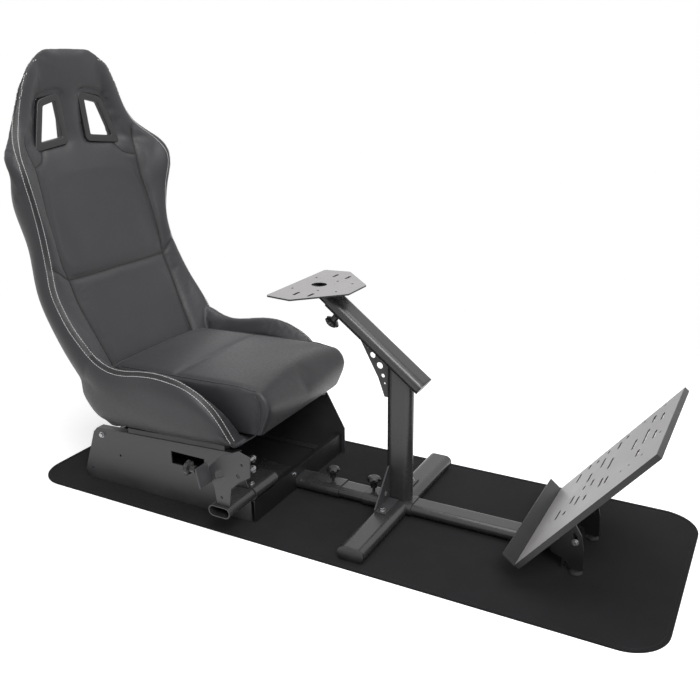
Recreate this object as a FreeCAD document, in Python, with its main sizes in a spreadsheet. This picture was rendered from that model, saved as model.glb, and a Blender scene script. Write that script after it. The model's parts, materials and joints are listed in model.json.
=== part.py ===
import FreeCAD, Part
import math
import os

import Sketcher

# Sim racing cockpit: bucket seat on a sheet-steel base, a flat-oval rail that slides in the base,
# a wheel stand that slides on the rail, and a tilting pedal plate at the rail's far end.
# Millimetres; +Z up, -Y towards the pedals, +X to the driver's left, origin under the mat's middle.

SIZES = {
    # floor mat
    "mat_width": 620,
    "mat_length": 1742,
    "mat_thick": 4,
    "mat_corner": 95,
    # flat-oval tubes: outer sleeve, and the tube that runs in it
    "sleeve_wide": 70,
    "sleeve_high": 36,
    "sleeve_wall": 2.5,
    "slide_gap": 0.5,
    "tube_wall": 2.5,
    "glide_gap": 0.4,
    # seat base
    "base_half": 235,
    "sheet": 3,
    "base_front": 139,
    "base_front_right": 160,
    "base_knee": 80,
    "base_top_front": 198,
    "base_top_rear": 680,
    "base_rear": 735,
    "base_high_front": 187,
    "base_high_rear": 163,
    "base_flange": 25,
    "panel_high": 62,
    "panel_lip": 14,
    "rear_panel_at": 690,
    "rear_panel_high": 120,
    "sleeve_mouth": 15,
    "seat_rail_high": 15,
    "seat_rail_wide": 21,
    "seat_rail_front": 235,
    "seat_rail_rear": 560,
    # bucket seat
    "seat_half": 303,
    "seat_top": 1165,
    "wing_thick": 48,
    "cushion_front": 94,
    "cushion_rear": 622,
    "cushion_half": 204,
    "cushion_low": 227,
    "cushion_high": 358,
    "cushion_round": 45,
    "cushion_crown_at": 110,
    "cushion_undercut": 50,
    "bezel_wall": 9,
    # shifter mount
    "bracket_thick": 4,
    "bracket_set": 10,
    "bracket_fold": 44,
    "bracket_round": 7,
    "shifter_out": 345,
    "shifter_in": 130,
    "shifter_at": 178,
    "shifter_level": 80.4,
    "shifter_room": 1.5,
    "shifter_knob_out": 356,
    "shifter_knob_at": 220,
    "shifter_knob_level": 190,
    "notch_front": 302,
    "notch_rear": 412,
    "notch_low": 112,
    "notch_high": 148,
    # rail and stand
    "rail_rear": 300,
    "rail_front": 604,
    "stand_at": 153,
    "stand_rear": 58,
    "stand_front": 198,
    "foot_half": 276,
    "cap_thick": 5,
    "column_thick": 38,
    "column_wide": 70,
    "column_wall": 2.5,
    "brace_reach": 106,
    "brace_high": 95,
    "brace_thick": 4,
    "brace_flange": 30,
    # wheel arm
    "arm_angle": 37.5,
    "arm_low_at": 212,
    "arm_low_level": 362,
    "arm_length": 316,
    "arm_inset": 165,
    "wheel_level": 588,
    "plate_thick": 4,
    "plate_rear": 145,
    "plate_side": 72,
    "plate_front": 32,
    "plate_half": 156,
    "plate_nose": 48,
    "plate_back_half": 146,
    "plate_corner": 8,
    "wheel_slot_long": 30,
    "wheel_slot_wide": 7,
    "bolt_hole": 3.2,
    "cable_hole": 20,
    "cable_hole_at": 79,
    "gusset_thick": 5,
    "gusset_low": 314,
    "gusset_round": 40,
    # star knobs
    "knob_radius": 20,
    "knob_high": 13,
    "knob_hub": 9,
    "knob_lift": 20,
    "stud_radius": 4,
    "stud_out": 8,
    "sleeve_knob_at": 49,
    "stand_knob_at": 76,
    "arm_knob_back": 34,
    # pedal plate and legs
    "pivot_at": 594,
    "pivot_level": 85,
    "pedal_angle": 51,
    "pedal_half": 197,
    "pedal_length": 428,
    "pedal_drop": 33,
    "pedal_lower": 65,
    "pedal_sheet": 3,
    "rim_deep": 13,
    "lip_high": 36,
    "leg_at": 82,
    "leg_thick": 4,
    "ear_gap": 6,
    "ear_thick": 4,
    "leg_round": 8,
    "ear_round": 6,
    "pedal_slot": 8,
    "slot_radius": 40,
    "bolt_radius": 4,
    "bolt_gap": 0.3,
    "pad_radius": 15,
    "pad_high": 8,
}

doc = FreeCAD.newDocument("cockpit")
sheet = doc.addObject("Spreadsheet::Sheet", "dims")
for row, (alias, number) in enumerate(SIZES.items(), 1):
    sheet.set("A%d" % row, alias)
    sheet.set("B%d" % row, str(number))
    sheet.setAlias("B%d" % row, alias)
doc.recompute()


class Size:
    """A number together with the sheet expression that gives it."""

    def __init__(self, value, text):
        self.value = float(value)
        self.text = text

    def __add__(self, other):
        other = size(other)
        return Size(self.value + other.value, "(%s + %s)" % (self.text, other.text))

    def __sub__(self, other):
        other = size(other)
        return Size(self.value - other.value, "(%s - %s)" % (self.text, other.text))

    def __mul__(self, other):
        other = size(other)
        return Size(self.value * other.value, "(%s * %s)" % (self.text, other.text))

    def __truediv__(self, other):
        other = size(other)
        return Size(self.value / other.value, "(%s / %s)" % (self.text, other.text))

    def __neg__(self):
        return Size(-self.value, "(0 - %s)" % self.text)

    def __radd__(self, other):
        return size(other) + self

    def __rsub__(self, other):
        return size(other) - self

    def __rmul__(self, other):
        return size(other) * self


def size(number):
    """Wrap a plain number as a Size."""
    if isinstance(number, Size):
        return number
    return Size(number, "%.6f" % number)


def cell(alias):
    """The sheet's value of one alias as a Size."""
    return Size(sheet.get(alias), "dims." + alias)


def sine(angle):
    return Size(math.sin(math.radians(angle.value)), "sin(%s * 1deg)" % angle.text)


def cosine(angle):
    return Size(math.cos(math.radians(angle.value)), "cos(%s * 1deg)" % angle.text)


def bind(obj, prop, number):
    """Tie one property of an object to the sheet."""
    obj.setExpression(prop, size(number).text)


def place(obj, x=0, y=0, z=0, turn=None):
    """Tie an object's position, and its turn about X, to the sheet."""
    for axis, number in zip("xyz", (x, y, z)):
        bind(obj, "Placement.Base." + axis, number)
    if turn is not None:
        obj.Placement.Rotation = FreeCAD.Rotation(FreeCAD.Vector(1, 0, 0), size(turn).value)
        bind(obj, "Placement.Rotation.Angle", turn)


def body(label):
    """A new part-design body."""
    made = doc.addObject("PartDesign::Body", label)
    made.Label = label
    return made


class Sketch:
    """A sketch on one of a body's own origin planes, whose points the sheet drives."""

    def __init__(self, owner, plane, name):
        support = [f for f in owner.Origin.OriginFeatures if getattr(f, "Role", "") == plane][0]
        self.made = owner.newObject("Sketcher::SketchObject", name)
        self.made.AttachmentSupport = (support, [""])
        self.made.MapMode = "FlatFace"
        self.geometry = []
        self.rules = []
        self.texts = {}

    def add(self, shape):
        self.geometry.append(shape)
        return len(self.geometry) - 1

    def rule(self, *parts):
        self.rules.append(Sketcher.Constraint(*parts))

    def driven(self, kind, where, number):
        """A dimension that follows the sheet."""
        self.texts[len(self.rules)] = size(number).text
        self.rule(kind, *where, size(number).value)

    def fix(self, shape, point, x, y):
        self.driven("DistanceX", (-1, 1, shape, point), x)
        self.driven("DistanceY", (-1, 1, shape, point), y)

    def settle(self):
        """Hand the drawing to the sketch object."""
        self.made.addGeometry(self.geometry, False)
        self.made.addConstraint(self.rules)
        for index, text in self.texts.items():
            self.made.setExpression("Constraints[%d]" % index, text)
        return self.made


def sketch(owner, plane, name):
    return Sketch(owner, plane, name)


def point(x, y):
    return FreeCAD.Vector(size(x).value, size(y).value, 0)


def outline(sk, points):
    """A closed polygon through sheet-driven points."""
    count = len(points)
    at = [point(x, y) for x, y in points]
    sides = [sk.add(Part.LineSegment(at[i], at[(i + 1) % count])) for i in range(count)]
    for i in range(count):
        sk.rule("Coincident", sides[i], 2, sides[(i + 1) % count], 1)
        sk.fix(sides[i], 1, *points[i])


def rectangle(sk, x0, y0, x1, y1):
    outline(sk, [(x0, y0), (x1, y0), (x1, y1), (x0, y1)])


def disc(sk, x, y, radius):
    """A circle."""
    circle = sk.add(Part.Circle(point(x, y), FreeCAD.Vector(0, 0, 1), size(radius).value))
    sk.fix(circle, 3, x, y)
    sk.driven("Radius", (circle,), radius)


def obround(sk, wide, high, x=0, y=0, upright=False):
    """A slot outline: two straight sides and two half-round ends."""
    half = (size(wide) - high) / 2
    radius = size(high) / 2
    ends = [(x - half, y), (x + half, y)]
    if upright:
        ends = [(size(x), y - half), (size(x), y + half)]
    a, b = [point(u, v) for u, v in ends]
    r = radius.value
    axis = FreeCAD.Vector(0, 0, 1)
    start = 0 if upright else -math.pi / 2
    side = FreeCAD.Vector(r, 0, 0) if upright else FreeCAD.Vector(0, -r, 0)
    far = sk.add(Part.ArcOfCircle(Part.Circle(b, axis, r), start, start + math.pi))
    back = sk.add(Part.LineSegment(b - side, a - side))
    near = sk.add(Part.ArcOfCircle(Part.Circle(a, axis, r), start + math.pi, start + 2 * math.pi))
    ahead = sk.add(Part.LineSegment(a + side, b + side))
    for one, two in ((far, back), (back, near), (near, ahead), (ahead, far)):
        sk.rule("Tangent", one, 2, two, 1)
    sk.rule("Equal", far, near)
    sk.fix(near, 3, *ends[0])
    sk.fix(far, 3, *ends[1])
    sk.driven("Radius", (far,), radius)


def arc_slot(sk, reach, radius, start, end):
    """A slot along an arc about the sketch's origin, between two angles in degrees."""
    axis = FreeCAD.Vector(0, 0, 1)
    ends = [(reach * cosine(size(turn)), reach * sine(size(turn))) for turn in (start, end)]
    a, b = [point(u, v) for u, v in ends]
    low, high = math.radians(start), math.radians(end)
    middle = FreeCAD.Vector(0, 0, 0)
    outer = sk.add(Part.ArcOfCircle(Part.Circle(middle, axis, (reach + radius).value), low, high))
    far = sk.add(Part.ArcOfCircle(Part.Circle(b, axis, radius.value), high, high + math.pi))
    inner = sk.add(Part.ArcOfCircle(Part.Circle(middle, axis, (reach - radius).value), low, high))
    near = sk.add(Part.ArcOfCircle(Part.Circle(a, axis, radius.value), low + math.pi, low + 2 * math.pi))
    for one, one_end, two, two_end in ((outer, 2, far, 1), (far, 2, inner, 2), (inner, 1, near, 1),
                                       (near, 2, outer, 1)):
        sk.rule("Tangent", one, one_end, two, two_end)
    sk.fix(outer, 3, 0, 0)
    sk.fix(near, 3, *ends[0])
    sk.fix(far, 3, *ends[1])
    sk.driven("Radius", (outer,), reach + radius)
    sk.driven("Radius", (inner,), reach - radius)


def pad(owner, sk, length, back=False, middle=False):
    """Extrude a sketch along its normal."""
    profile = sk.settle()
    made = owner.newObject("PartDesign::Pad", profile.Name + "_pad")
    made.Profile = profile
    bind(made, "Length", length)
    made.Reversed = back
    made.Midplane = middle
    owner.Tip = made
    return made


def pocket(owner, sk):
    """Cut a sketch through all, both ways."""
    profile = sk.settle()
    made = owner.newObject("PartDesign::Pocket", profile.Name + "_cut")
    made.Profile = profile
    made.Type = 1
    made.Midplane = True
    owner.Tip = made
    return made


def revolve(owner, sk):
    """Turn a sketch about its upright axis."""
    profile = sk.settle()
    made = owner.newObject("PartDesign::Revolution", profile.Name + "_turned")
    made.Profile = profile
    made.ReferenceAxis = (profile, ["V_Axis"])
    made.Angle = 360
    owner.Tip = made
    return made


def fillet(owner, radius, keep):
    """Round the edges of the body that the test keeps."""
    doc.recompute()
    last = owner.Tip
    names = ["Edge%d" % i for i, edge in enumerate(last.Shape.Edges, 1) if keep(edge)]
    made = owner.newObject("PartDesign::Fillet", owner.Name + "_round%d" % len(owner.Group))
    made.Base = (last, names)
    bind(made, "Radius", radius)
    owner.Tip = made
    return made


def along(axis):
    """A test for straight edges that run along one axis."""
    def test(edge):
        if edge.Curve.TypeId != "Part::GeomLine":
            return False
        return abs(edge.Curve.Direction.dot(axis)) > 0.999
    return test


X_AXIS = FreeCAD.Vector(1, 0, 0)
Y_AXIS = FreeCAD.Vector(0, 1, 0)
Z_AXIS = FreeCAD.Vector(0, 0, 1)

FLOOR = cell("mat_thick")
SHEET = cell("sheet")
BORE_WIDE = cell("sleeve_wide") - 2 * cell("sleeve_wall")
BORE_HIGH = cell("sleeve_high") - 2 * cell("sleeve_wall")
TUBE_WIDE = BORE_WIDE - 2 * cell("slide_gap")
TUBE_HIGH = BORE_HIGH - 2 * cell("slide_gap")
AXLE = FLOOR + cell("sleeve_high") / 2 + cell("glide_gap")


def tube(label, plane, wide, high, wall, length, upright=False, back=False):
    """A hollow flat-oval tube padded off an origin plane."""
    made = body(label)
    sk = sketch(made, plane, label + "_section")
    obround(sk, wide, high, upright=upright)
    obround(sk, wide - 2 * wall, high - 2 * wall, upright=upright)
    pad(made, sk, length, back=back)
    return made


def star_knob(label, stud):
    """A lobed hand knob on its threaded stud, standing along Z from the stud's foot."""
    made = body(label)
    profile = sketch(made, "XZ_Plane", label + "_profile")
    reach = cell("knob_radius")
    top = stud + cell("knob_lift") + cell("knob_high")
    low = stud + cell("knob_lift")
    outline(profile, [
        (0, 0), (cell("stud_radius"), 0), (cell("stud_radius"), stud + 2),
        (cell("knob_hub"), stud + 2), (cell("knob_hub"), low - 3), (reach - 5, low),
        (reach, low + 4), (reach, top - 6), (reach - 5, top - 2), (reach / 2, top), (0, top),
    ])
    revolve(made, profile)
    bite = sketch(made, "XY_Plane", label + "_bite")
    disc(bite, reach + 4, 0, 8)
    cut = pocket(made, bite)
    ring = made.newObject("PartDesign::PolarPattern", label + "_lobes")
    ring.Originals = [cut]
    ring.Axis = (bite.made, ["N_Axis"])
    ring.Angle = 360
    ring.Occurrences = 7
    made.Tip = ring
    return made


# Floor mat: one hemmed sheet with rounded corners.
mat = body("floor_mat")
mat_plan = sketch(mat, "XY_Plane", "mat_plan")
half_w = cell("mat_width") / 2
half_l = cell("mat_length") / 2
rectangle(mat_plan, -half_w, -half_l, half_w, half_l)
pad(mat, mat_plan, cell("mat_thick"))
fillet(mat, cell("mat_corner"), along(Z_AXIS))

# Seat base: two bent side plates, a front and a rear cross panel.
top_fall = (cell("base_high_front") - cell("base_high_rear")) / (
    cell("base_top_rear") - cell("base_top_front"))


def base_top(y):
    """Height of the side plates' top edge over the mat at one station."""
    return cell("base_high_front") - (size(y) - cell("base_top_front")) * top_fall


# bolt holes of a side plate: distance, height, radius
SIDE_HOLES = [(657, 145, 4), (596, 93, 3.5), (708, 30, 3.5)]


def side_plate(label, side):
    made = body(label)
    face = sketch(made, "YZ_Plane", label + "_face")
    nose = cell("base_front")
    if side < 0:
        nose = cell("base_front_right")
    outline(face, [
        (nose, 0), (cell("base_rear") - 14, 0), (cell("base_rear"), 22),
        (cell("base_top_rear") + 8, cell("base_high_rear") - 14),
        (cell("base_top_rear") - 6, base_top(cell("base_top_rear") - 6)),
        (cell("base_top_front"), cell("base_high_front")), (nose, cell("base_knee")),
    ])
    pad(made, face, SHEET, back=side > 0)
    flange = sketch(made, "YZ_Plane", label + "_flange")
    front = cell("base_top_front")
    rear = cell("base_top_rear") - 6
    outline(flange, [
        (front, base_top(front)), (rear, base_top(rear)), (rear, base_top(rear) - SHEET),
        (front, base_top(front) - SHEET),
    ])
    pad(made, flange, cell("base_flange"), back=side > 0)
    foot = sketch(made, "YZ_Plane", label + "_foot")
    rectangle(foot, nose + 20, 0, cell("rear_panel_at") - 6, SHEET)
    pad(made, foot, cell("base_flange"), back=side > 0)
    holes = sketch(made, "YZ_Plane", label + "_holes")
    for at, level, radius in SIDE_HOLES:
        disc(holes, at, level, radius)
    if side < 0:
        rectangle(holes, cell("notch_front"), cell("notch_low"),
                  cell("notch_rear"), cell("notch_high"))
        obround(holes, TUBE_WIDE + 2 * cell("shifter_room"), TUBE_HIGH + 2 * cell("shifter_room"),
                cell("shifter_at"), cell("shifter_level"))
    pocket(made, holes)
    place(made, side * cell("base_half"), 0, FLOOR)
    return made


side_plate("base_side_right", -1)
side_plate("base_side_left", 1)

inner_half = cell("base_half") - SHEET


def cross_panel(label, at, high, lip, clear):
    """An upright sheet between the side plates, round the sleeve, with a lip turned inwards."""
    made = body(label)
    face = sketch(made, "XZ_Plane", label + "_face")
    low = clear
    rectangle(face, -inner_half, low, inner_half, high)
    obround(face, cell("sleeve_wide"), cell("sleeve_high"), 0, AXLE - FLOOR)
    pad(made, face, SHEET)
    edge = sketch(made, "XZ_Plane", label + "_lip")
    rectangle(edge, -inner_half, high - SHEET, inner_half, high)
    pad(made, edge, cell("panel_lip"), back=lip > 0)
    place(made, 0, at, FLOOR)
    return made


front_panel_at = cell("base_front") + 14
panel_low = size(0.2)
cross_panel("base_front_panel", front_panel_at, cell("panel_high"), 1, panel_low)
cross_panel("base_rear_panel", cell("rear_panel_at"), cell("rear_panel_high"), -1, panel_low)

sleeve = tube("base_sleeve", "XZ_Plane", cell("sleeve_wide"), cell("sleeve_high"),
              cell("sleeve_wall"), cell("rear_panel_at") - cell("sleeve_mouth"))
place(sleeve, 0, cell("rear_panel_at"), AXLE)

knob = star_knob("sleeve_knob", cell("stud_out"))
place(knob, 0, cell("sleeve_knob_at"), AXLE + cell("sleeve_high") / 2)

# Seat rails: bars on the base flanges that carry the shell.
for label, side in (("seat_rail_right", -1), ("seat_rail_left", 1)):
    bar = body(label)
    face = sketch(bar, "YZ_Plane", label + "_face")
    front = cell("seat_rail_front")
    rear = cell("seat_rail_rear")
    lift = cell("seat_rail_high")
    outline(face, [
        (front, base_top(front)), (rear, base_top(rear)), (rear, base_top(rear) + lift),
        (front, base_top(front) + lift),
    ])
    pad(bar, face, cell("seat_rail_wide"), middle=True)
    place(bar, side * (cell("base_half") - cell("base_flange") / 2), 0, FLOOR)

# Bucket seat: one hollow shell of two lofts, the pan with its thigh wings and the leaning back
# with its shoulder wings. Stations are heights, or distances behind the origin, over the mat.
# height, rear face, front face at the middle, wing crest, half width, half width of the insert
BACK = [
    (188, 655, 590, 566, 246, 150),
    (240, 708, 612, 588, 256, 165),
    (313, 750, 641, 612, 268, 177),
    (370, 784, 668, 628, 277, 182),
    (420, 810, 693, 655, 280, 186),
    (480, 834, 719, 699, 280, 190),
    (540, 856, 744, 732, 276, 194),
    (600, 874, 764, 752, 266, 196),
    (660, 888, 783, 764, 260, 196),
    (720, 896, 800, 771, 268, 195),
    (780, 901, 817, 772, 284, 194),
    (830, 904, 830, 768, 297, 192),
    (870, 905, 841, 774, 303, 188),
    (900, 906, 855, 792, 297, 182),
    (930, 906, 866, 821, 268, 172),
    (960, 905, 870, 845, 237, 160),
    (1000, 903, 872, 857, 212, 146),
    (1045, 900, 872, 860, 192, 132),
    (1085, 895, 867, 859, 174, 116),
    (1120, 888, 865, 858, 150, 98),
    (1145, 881, 866, 860, 120, 76),
    (1158, 876, 866, 862, 86, 54),
    (1165, 872, 866, 863, 46, 28),
]
# heights between which the sides of the back turn from upright to well rounded
ROUND_FROM = 760
ROUND_TO = 870
# distance, underside, wing crest, floor under the cushion, half width
PAN = [
    (186, 206, 221, 217, 254),
    (202, 204, 246, 219, 262),
    (228, 202, 292, 220, 272),
    (262, 200, 329, 220, 280),
    (300, 198, 355, 219, 285),
    (345, 196, 373, 218, 287),
    (400, 193, 382, 216, 288),
    (460, 190, 378, 213, 285),
    (520, 187, 368, 210, 281),
    (560, 186, 367, 209, 280),
    (600, 186, 378, 208, 279),
    (645, 192, 398, 214, 274),
    (690, 230, 410, 250, 264),
]
SPREAD = cell("seat_half").value / max(row[4] for row in BACK)
RISE = cell("seat_top").value / BACK[-1][0]
WING = cell("wing_thick").value


def closed_curve(half):
    """A smooth closed wire through half an outline and its mirror image in X."""
    other = [FreeCAD.Vector(-p.x, p.y, p.z) for p in reversed(half[1:-1])]
    curve = Part.BSplineCurve()
    curve.interpolate(Points=half + other, PeriodicFlag=True)
    return Part.Wire([curve.toShape()])


def back_section(level, rear, front, crest, half, insert):
    z = FLOOR.value + level * RISE
    wide = half * SPREAD
    pad_edge = insert * SPREAD
    deep = rear - crest
    dip = front - crest
    band = min(WING, 0.8 * (wide - pad_edge))
    turn = min(1.0, max(0.0, (level - ROUND_FROM) / float(ROUND_TO - ROUND_FROM)))
    half = [
        (0, rear), (0.34 * wide, rear - (0.01 + 0.02 * turn) * deep),
        (0.64 * wide, rear - (0.06 + 0.15 * turn) * deep),
        (0.90 * wide, rear - (0.27 + 0.30 * turn) * deep), (wide, rear - (0.60 + 0.15 * turn) * deep),
        (wide - 0.06 * band, crest + 0.14 * deep), (wide - 0.38 * band, crest),
        (wide - band, crest + 0.22 * dip), (pad_edge, front - 0.18 * dip),
        (0.72 * pad_edge, front - 0.03 * dip), (0.36 * pad_edge, front), (0, front),
    ]
    return closed_curve([FreeCAD.Vector(x, y, z) for x, y in half])


def pan_section(at, under, crest, floor, half):
    wide = half * SPREAD
    tall = crest - under
    low = wide - 22
    seat = wide - 1.5 * WING
    half = [
        (0, under), (0.28 * low, under), (0.56 * low, under), (0.80 * low, under),
        (low, under + 0.10 * tall), (wide, under + 0.58 * tall),
        (wide - 0.06 * WING, crest - 0.10 * tall), (wide - 0.38 * WING, crest),
        (wide - WING, crest - 0.14 * tall), (wide - 1.10 * WING, floor + 0.30 * (crest - floor)),
        (seat, floor), (0.72 * seat, floor), (0.36 * seat, floor), (0, floor),
    ]
    return closed_curve([FreeCAD.Vector(x, at, FLOOR.value + z * RISE) for x, z in half])


# corners of a harness opening: distance from the middle, height
HOLE = [(50, 1038), (49, 931), (141, 921), (106, 1025)]


def hole_prism(side, grow, start, end):
    """A harness opening as a straight prism through the back."""
    middle_x = sum(x for x, z in HOLE) / 4.0
    middle_z = sum(z for x, z in HOLE) / 4.0
    points = []
    for x, z in HOLE:
        px = x + math.copysign(grow, x - middle_x)
        pz = z + math.copysign(grow, z - middle_z)
        points.append(FreeCAD.Vector(side * px * SPREAD, start, FLOOR.value + pz * RISE))
    face = Part.Face(Part.makePolygon(points + points[:1]))
    return face.extrude(FreeCAD.Vector(0, end - start, 0))


back = Part.makeLoft([back_section(*row) for row in BACK], True, False)
pan = Part.makeLoft([pan_section(*row) for row in PAN], True, False)
shell_shape = back.fuse(pan)
bezel_wall = cell("bezel_wall").value
for side in (-1, 1):
    shell_shape = shell_shape.cut(hole_prism(side, bezel_wall, 700, 1000))
shell_shape = shell_shape.removeSplitter()
if shell_shape.ShapeType != "Solid":
    shell_shape = shell_shape.Solids[0]
shell = doc.addObject("Part::Feature", "seat_shell")
shell.Label = "seat_shell"
shell.Shape = shell_shape
shell.Placement = FreeCAD.Placement()

for label, side in (("harness_bezel_right", -1), ("harness_bezel_left", 1)):
    ring = hole_prism(side, bezel_wall, 700, 1000).common(back)
    ring = ring.cut(hole_prism(side, 0, 700, 1000))
    if ring.ShapeType != "Solid":
        ring = ring.Solids[0]
    bezel = doc.addObject("Part::Feature", label)
    bezel.Label = label
    bezel.Shape = ring
    bezel.Placement = FreeCAD.Placement()

cushion = body("seat_cushion")
cushion_plan = sketch(cushion, "YZ_Plane", "cushion_profile")
outline(cushion_plan, [
    (cell("cushion_front") + cell("cushion_undercut"), cell("cushion_low")),
    (cell("cushion_rear") - 22, cell("cushion_low")),
    (cell("cushion_rear") + 22, cell("cushion_high") - 12),
    (cell("cushion_front") + cell("cushion_crown_at"), cell("cushion_high")),
    (cell("cushion_front"), cell("cushion_high") - 14),
])
pad(cushion, cushion_plan, 2 * cell("cushion_half"), middle=True)
fillet(cushion, cell("cushion_round"), lambda edge: edge.BoundBox.XLength < 1
       and edge.BoundBox.ZLength > 50 and edge.BoundBox.YMin > cell("cushion_rear").value - 30)
fillet(cushion, cell("cushion_round"), lambda edge: edge.BoundBox.XLength > 10
       and edge.BoundBox.ZMin > cell("cushion_high").value - 20
       and edge.BoundBox.YMin < cell("cushion_front").value + 20)
place(cushion, 0, 0, FLOOR)

# Shifter mount: a cross sleeve on the front panel's lip, and in it a tube that is open at the driver's
# right and carries an upright bracket, whose folded ear takes a clamping knob.
shifter_axle = FLOOR + cell("shifter_level")
shifter_reach = inner_half - cell("glide_gap")
shifter_sleeve = tube("shifter_sleeve", "YZ_Plane", cell("sleeve_wide"), cell("sleeve_high"),
                      cell("sleeve_wall"), shifter_reach - cell("shifter_in"))
place(shifter_sleeve, -shifter_reach, cell("shifter_at"), shifter_axle)
shifter_tube = tube("shifter_tube", "YZ_Plane", TUBE_WIDE, TUBE_HIGH, cell("tube_wall"),
                    cell("shifter_out") - cell("shifter_in"))
place(shifter_tube, -cell("shifter_out"), cell("shifter_at"), shifter_axle)

# bracket, as distances and heights over the mat: edge above its foot, folded ear, window, and holes
# with their radius
BRACKET_FOOT = (152, 189)
BRACKET_EDGE = [
    (195, 141), (212, 189), (173, 228), (118, 253), (84, 243), (86, 191), (121, 170), (144, 148),
]
BRACKET_EAR = [(201, 155), (205, 154), (216, 204), (212, 205)]
BRACKET_WINDOW = [(162, 178), (192, 164), (193, 181), (163, 196)]
BRACKET_HOLES = [(109, 219, 3.5), (121, 187, 5.5), (174, 117, 4)]

bracket = body("shifter_bracket")
bracket_face = sketch(bracket, "YZ_Plane", "bracket_face")
bracket_low = cell("shifter_level") + TUBE_HIGH / 2 + cell("glide_gap")
outline(bracket_face, [(at, bracket_low) for at in BRACKET_FOOT] + BRACKET_EDGE)
pad(bracket, bracket_face, cell("bracket_thick"))
fillet(bracket, cell("bracket_round"), lambda edge: along(X_AXIS)(edge)
       and edge.BoundBox.ZMin > bracket_low.value + 5)
bracket_fold = sketch(bracket, "YZ_Plane", "bracket_fold")
outline(bracket_fold, BRACKET_EAR)
pad(bracket, bracket_fold, cell("bracket_fold"), back=True)
bracket_holes = sketch(bracket, "YZ_Plane", "bracket_holes")
for at, level, radius in BRACKET_HOLES:
    disc(bracket_holes, at, level, radius)
outline(bracket_holes, BRACKET_WINDOW)
pocket(bracket, bracket_holes)
place(bracket, cell("bracket_set") - cell("shifter_out"), 0, FLOOR)

knob = star_knob("shifter_knob", cell("stud_out"))
knob.Placement.Rotation = FreeCAD.Rotation(FreeCAD.Vector(1, 0, 0), -90)
knob_spot = (-cell("shifter_knob_out"), cell("shifter_knob_at"), FLOOR + cell("shifter_knob_level"))
for axis, number in zip("xyz", knob_spot):
    bind(knob, "Placement.Base." + axis, number)

# Rail: the long inner tube, and the pedal legs at its front end.
rail = tube("rail_tube", "XZ_Plane", TUBE_WIDE, TUBE_HIGH, cell("tube_wall"),
            cell("rail_rear") + cell("rail_front"))
place(rail, 0, cell("rail_rear"), AXLE)

leg_inner = cell("leg_at")
cross = body("pedal_cross_plate")
cross_face = sketch(cross, "XZ_Plane", "cross_face")
rectangle(cross_face, -leg_inner, 8, leg_inner, 58)
pad(cross, cross_face, cell("leg_thick"))
place(cross, 0, -cell("rail_front"), FLOOR)

# angles at the pivot between which the clamping bolt's slot runs
SLOT_TURN = (158, 190)
pivot_y = -cell("pivot_at")
pivot_z = FLOOR + cell("pivot_level")
low = -cell("pivot_level") + cell("pad_high")
for label, side in (("pedal_leg_right", -1), ("pedal_leg_left", 1)):
    leg = body(label)
    face = sketch(leg, "YZ_Plane", label + "_face")
    outline(face, [
        (-30, low), (-62, low), (-60, -20), (-52, 16), (-36, 42), (-14, 50), (4, 36),
        (20, 14), (20, -20), (14, -44), (-10, -52), (-24, -62),
    ])
    pad(leg, face, cell("leg_thick"), back=side < 0)
    fillet(leg, cell("leg_round"), along(X_AXIS))
    holes = sketch(leg, "YZ_Plane", label + "_holes")
    disc(holes, 0, 0, cell("bolt_radius") + cell("bolt_gap"))
    arc_slot(holes, cell("slot_radius"), cell("bolt_radius") + cell("bolt_gap"), *SLOT_TURN)
    pocket(leg, holes)
    place(leg, side * leg_inner, pivot_y, pivot_z)

for label, side in (("pedal_foot_right", -1), ("pedal_foot_left", 1)):
    foot = body(label)
    profile = sketch(foot, "XZ_Plane", label + "_profile")
    reach = cell("pad_radius")
    outline(profile, [(0, 0), (reach, 0), (reach, 3), (reach - 5, cell("pad_high") - cell("glide_gap")),
                      (0, cell("pad_high") - cell("glide_gap"))])
    revolve(foot, profile)
    place(foot, side * (leg_inner + cell("leg_thick") / 2), pivot_y - 46, FLOOR + cell("glide_gap"))

# Stand: a sleeve on the rail, a foot half either side of it, the column with its braces and arm.
stand_sleeve = tube("stand_sleeve", "XZ_Plane", cell("sleeve_wide"), cell("sleeve_high"),
                    cell("sleeve_wall"), cell("stand_front") - cell("stand_rear"))
place(stand_sleeve, 0, -cell("stand_rear"), AXLE)

for side, word in ((-1, "right"), (1, "left")):
    raw = tube("foot_raw_" + word, "YZ_Plane", cell("sleeve_wide"), cell("sleeve_high"),
               cell("sleeve_wall"), cell("foot_half") - 20, back=side < 0)
    place(raw, side * 20, -cell("stand_at"), AXLE)
    core = body("foot_core_" + word)
    core_face = sketch(core, "XZ_Plane", "foot_core_face_" + word)
    obround(core_face, cell("sleeve_wide"), cell("sleeve_high"))
    pad(core, core_face, 3 * cell("sleeve_wide"), middle=True)
    place(core, 0, -cell("stand_at"), AXLE)
    foot = doc.addObject("Part::Cut", "stand_foot_" + word)
    foot.Label = "stand_foot_" + word
    foot.Base = raw
    foot.Tool = core
    cap = body("foot_cap_" + word)
    cap_face = sketch(cap, "YZ_Plane", "foot_cap_face_" + word)
    obround(cap_face, cell("sleeve_wide"), cell("sleeve_high"))
    pad(cap, cap_face, cell("cap_thick"), back=side < 0)
    place(cap, side * cell("foot_half"), -cell("stand_at"), AXLE)

knob = star_knob("stand_knob", cell("stud_out"))
place(knob, 0, -cell("stand_knob_at"), AXLE + cell("sleeve_high") / 2)

arm_turn = cell("arm_angle") - 90
arm_y = -cell("arm_low_at")
arm_z = FLOOR + cell("arm_low_level")
arm_rise = sine(cell("arm_angle")) / cosine(cell("arm_angle"))
column_top = AXLE + cell("sleeve_high") / 2


def arm_under(y):
    """Height of the arm's underside at one station."""
    drop = cell("sleeve_high") / (2 * cosine(cell("arm_angle")))
    return arm_z + (size(y) - arm_y) * arm_rise - drop


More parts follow.
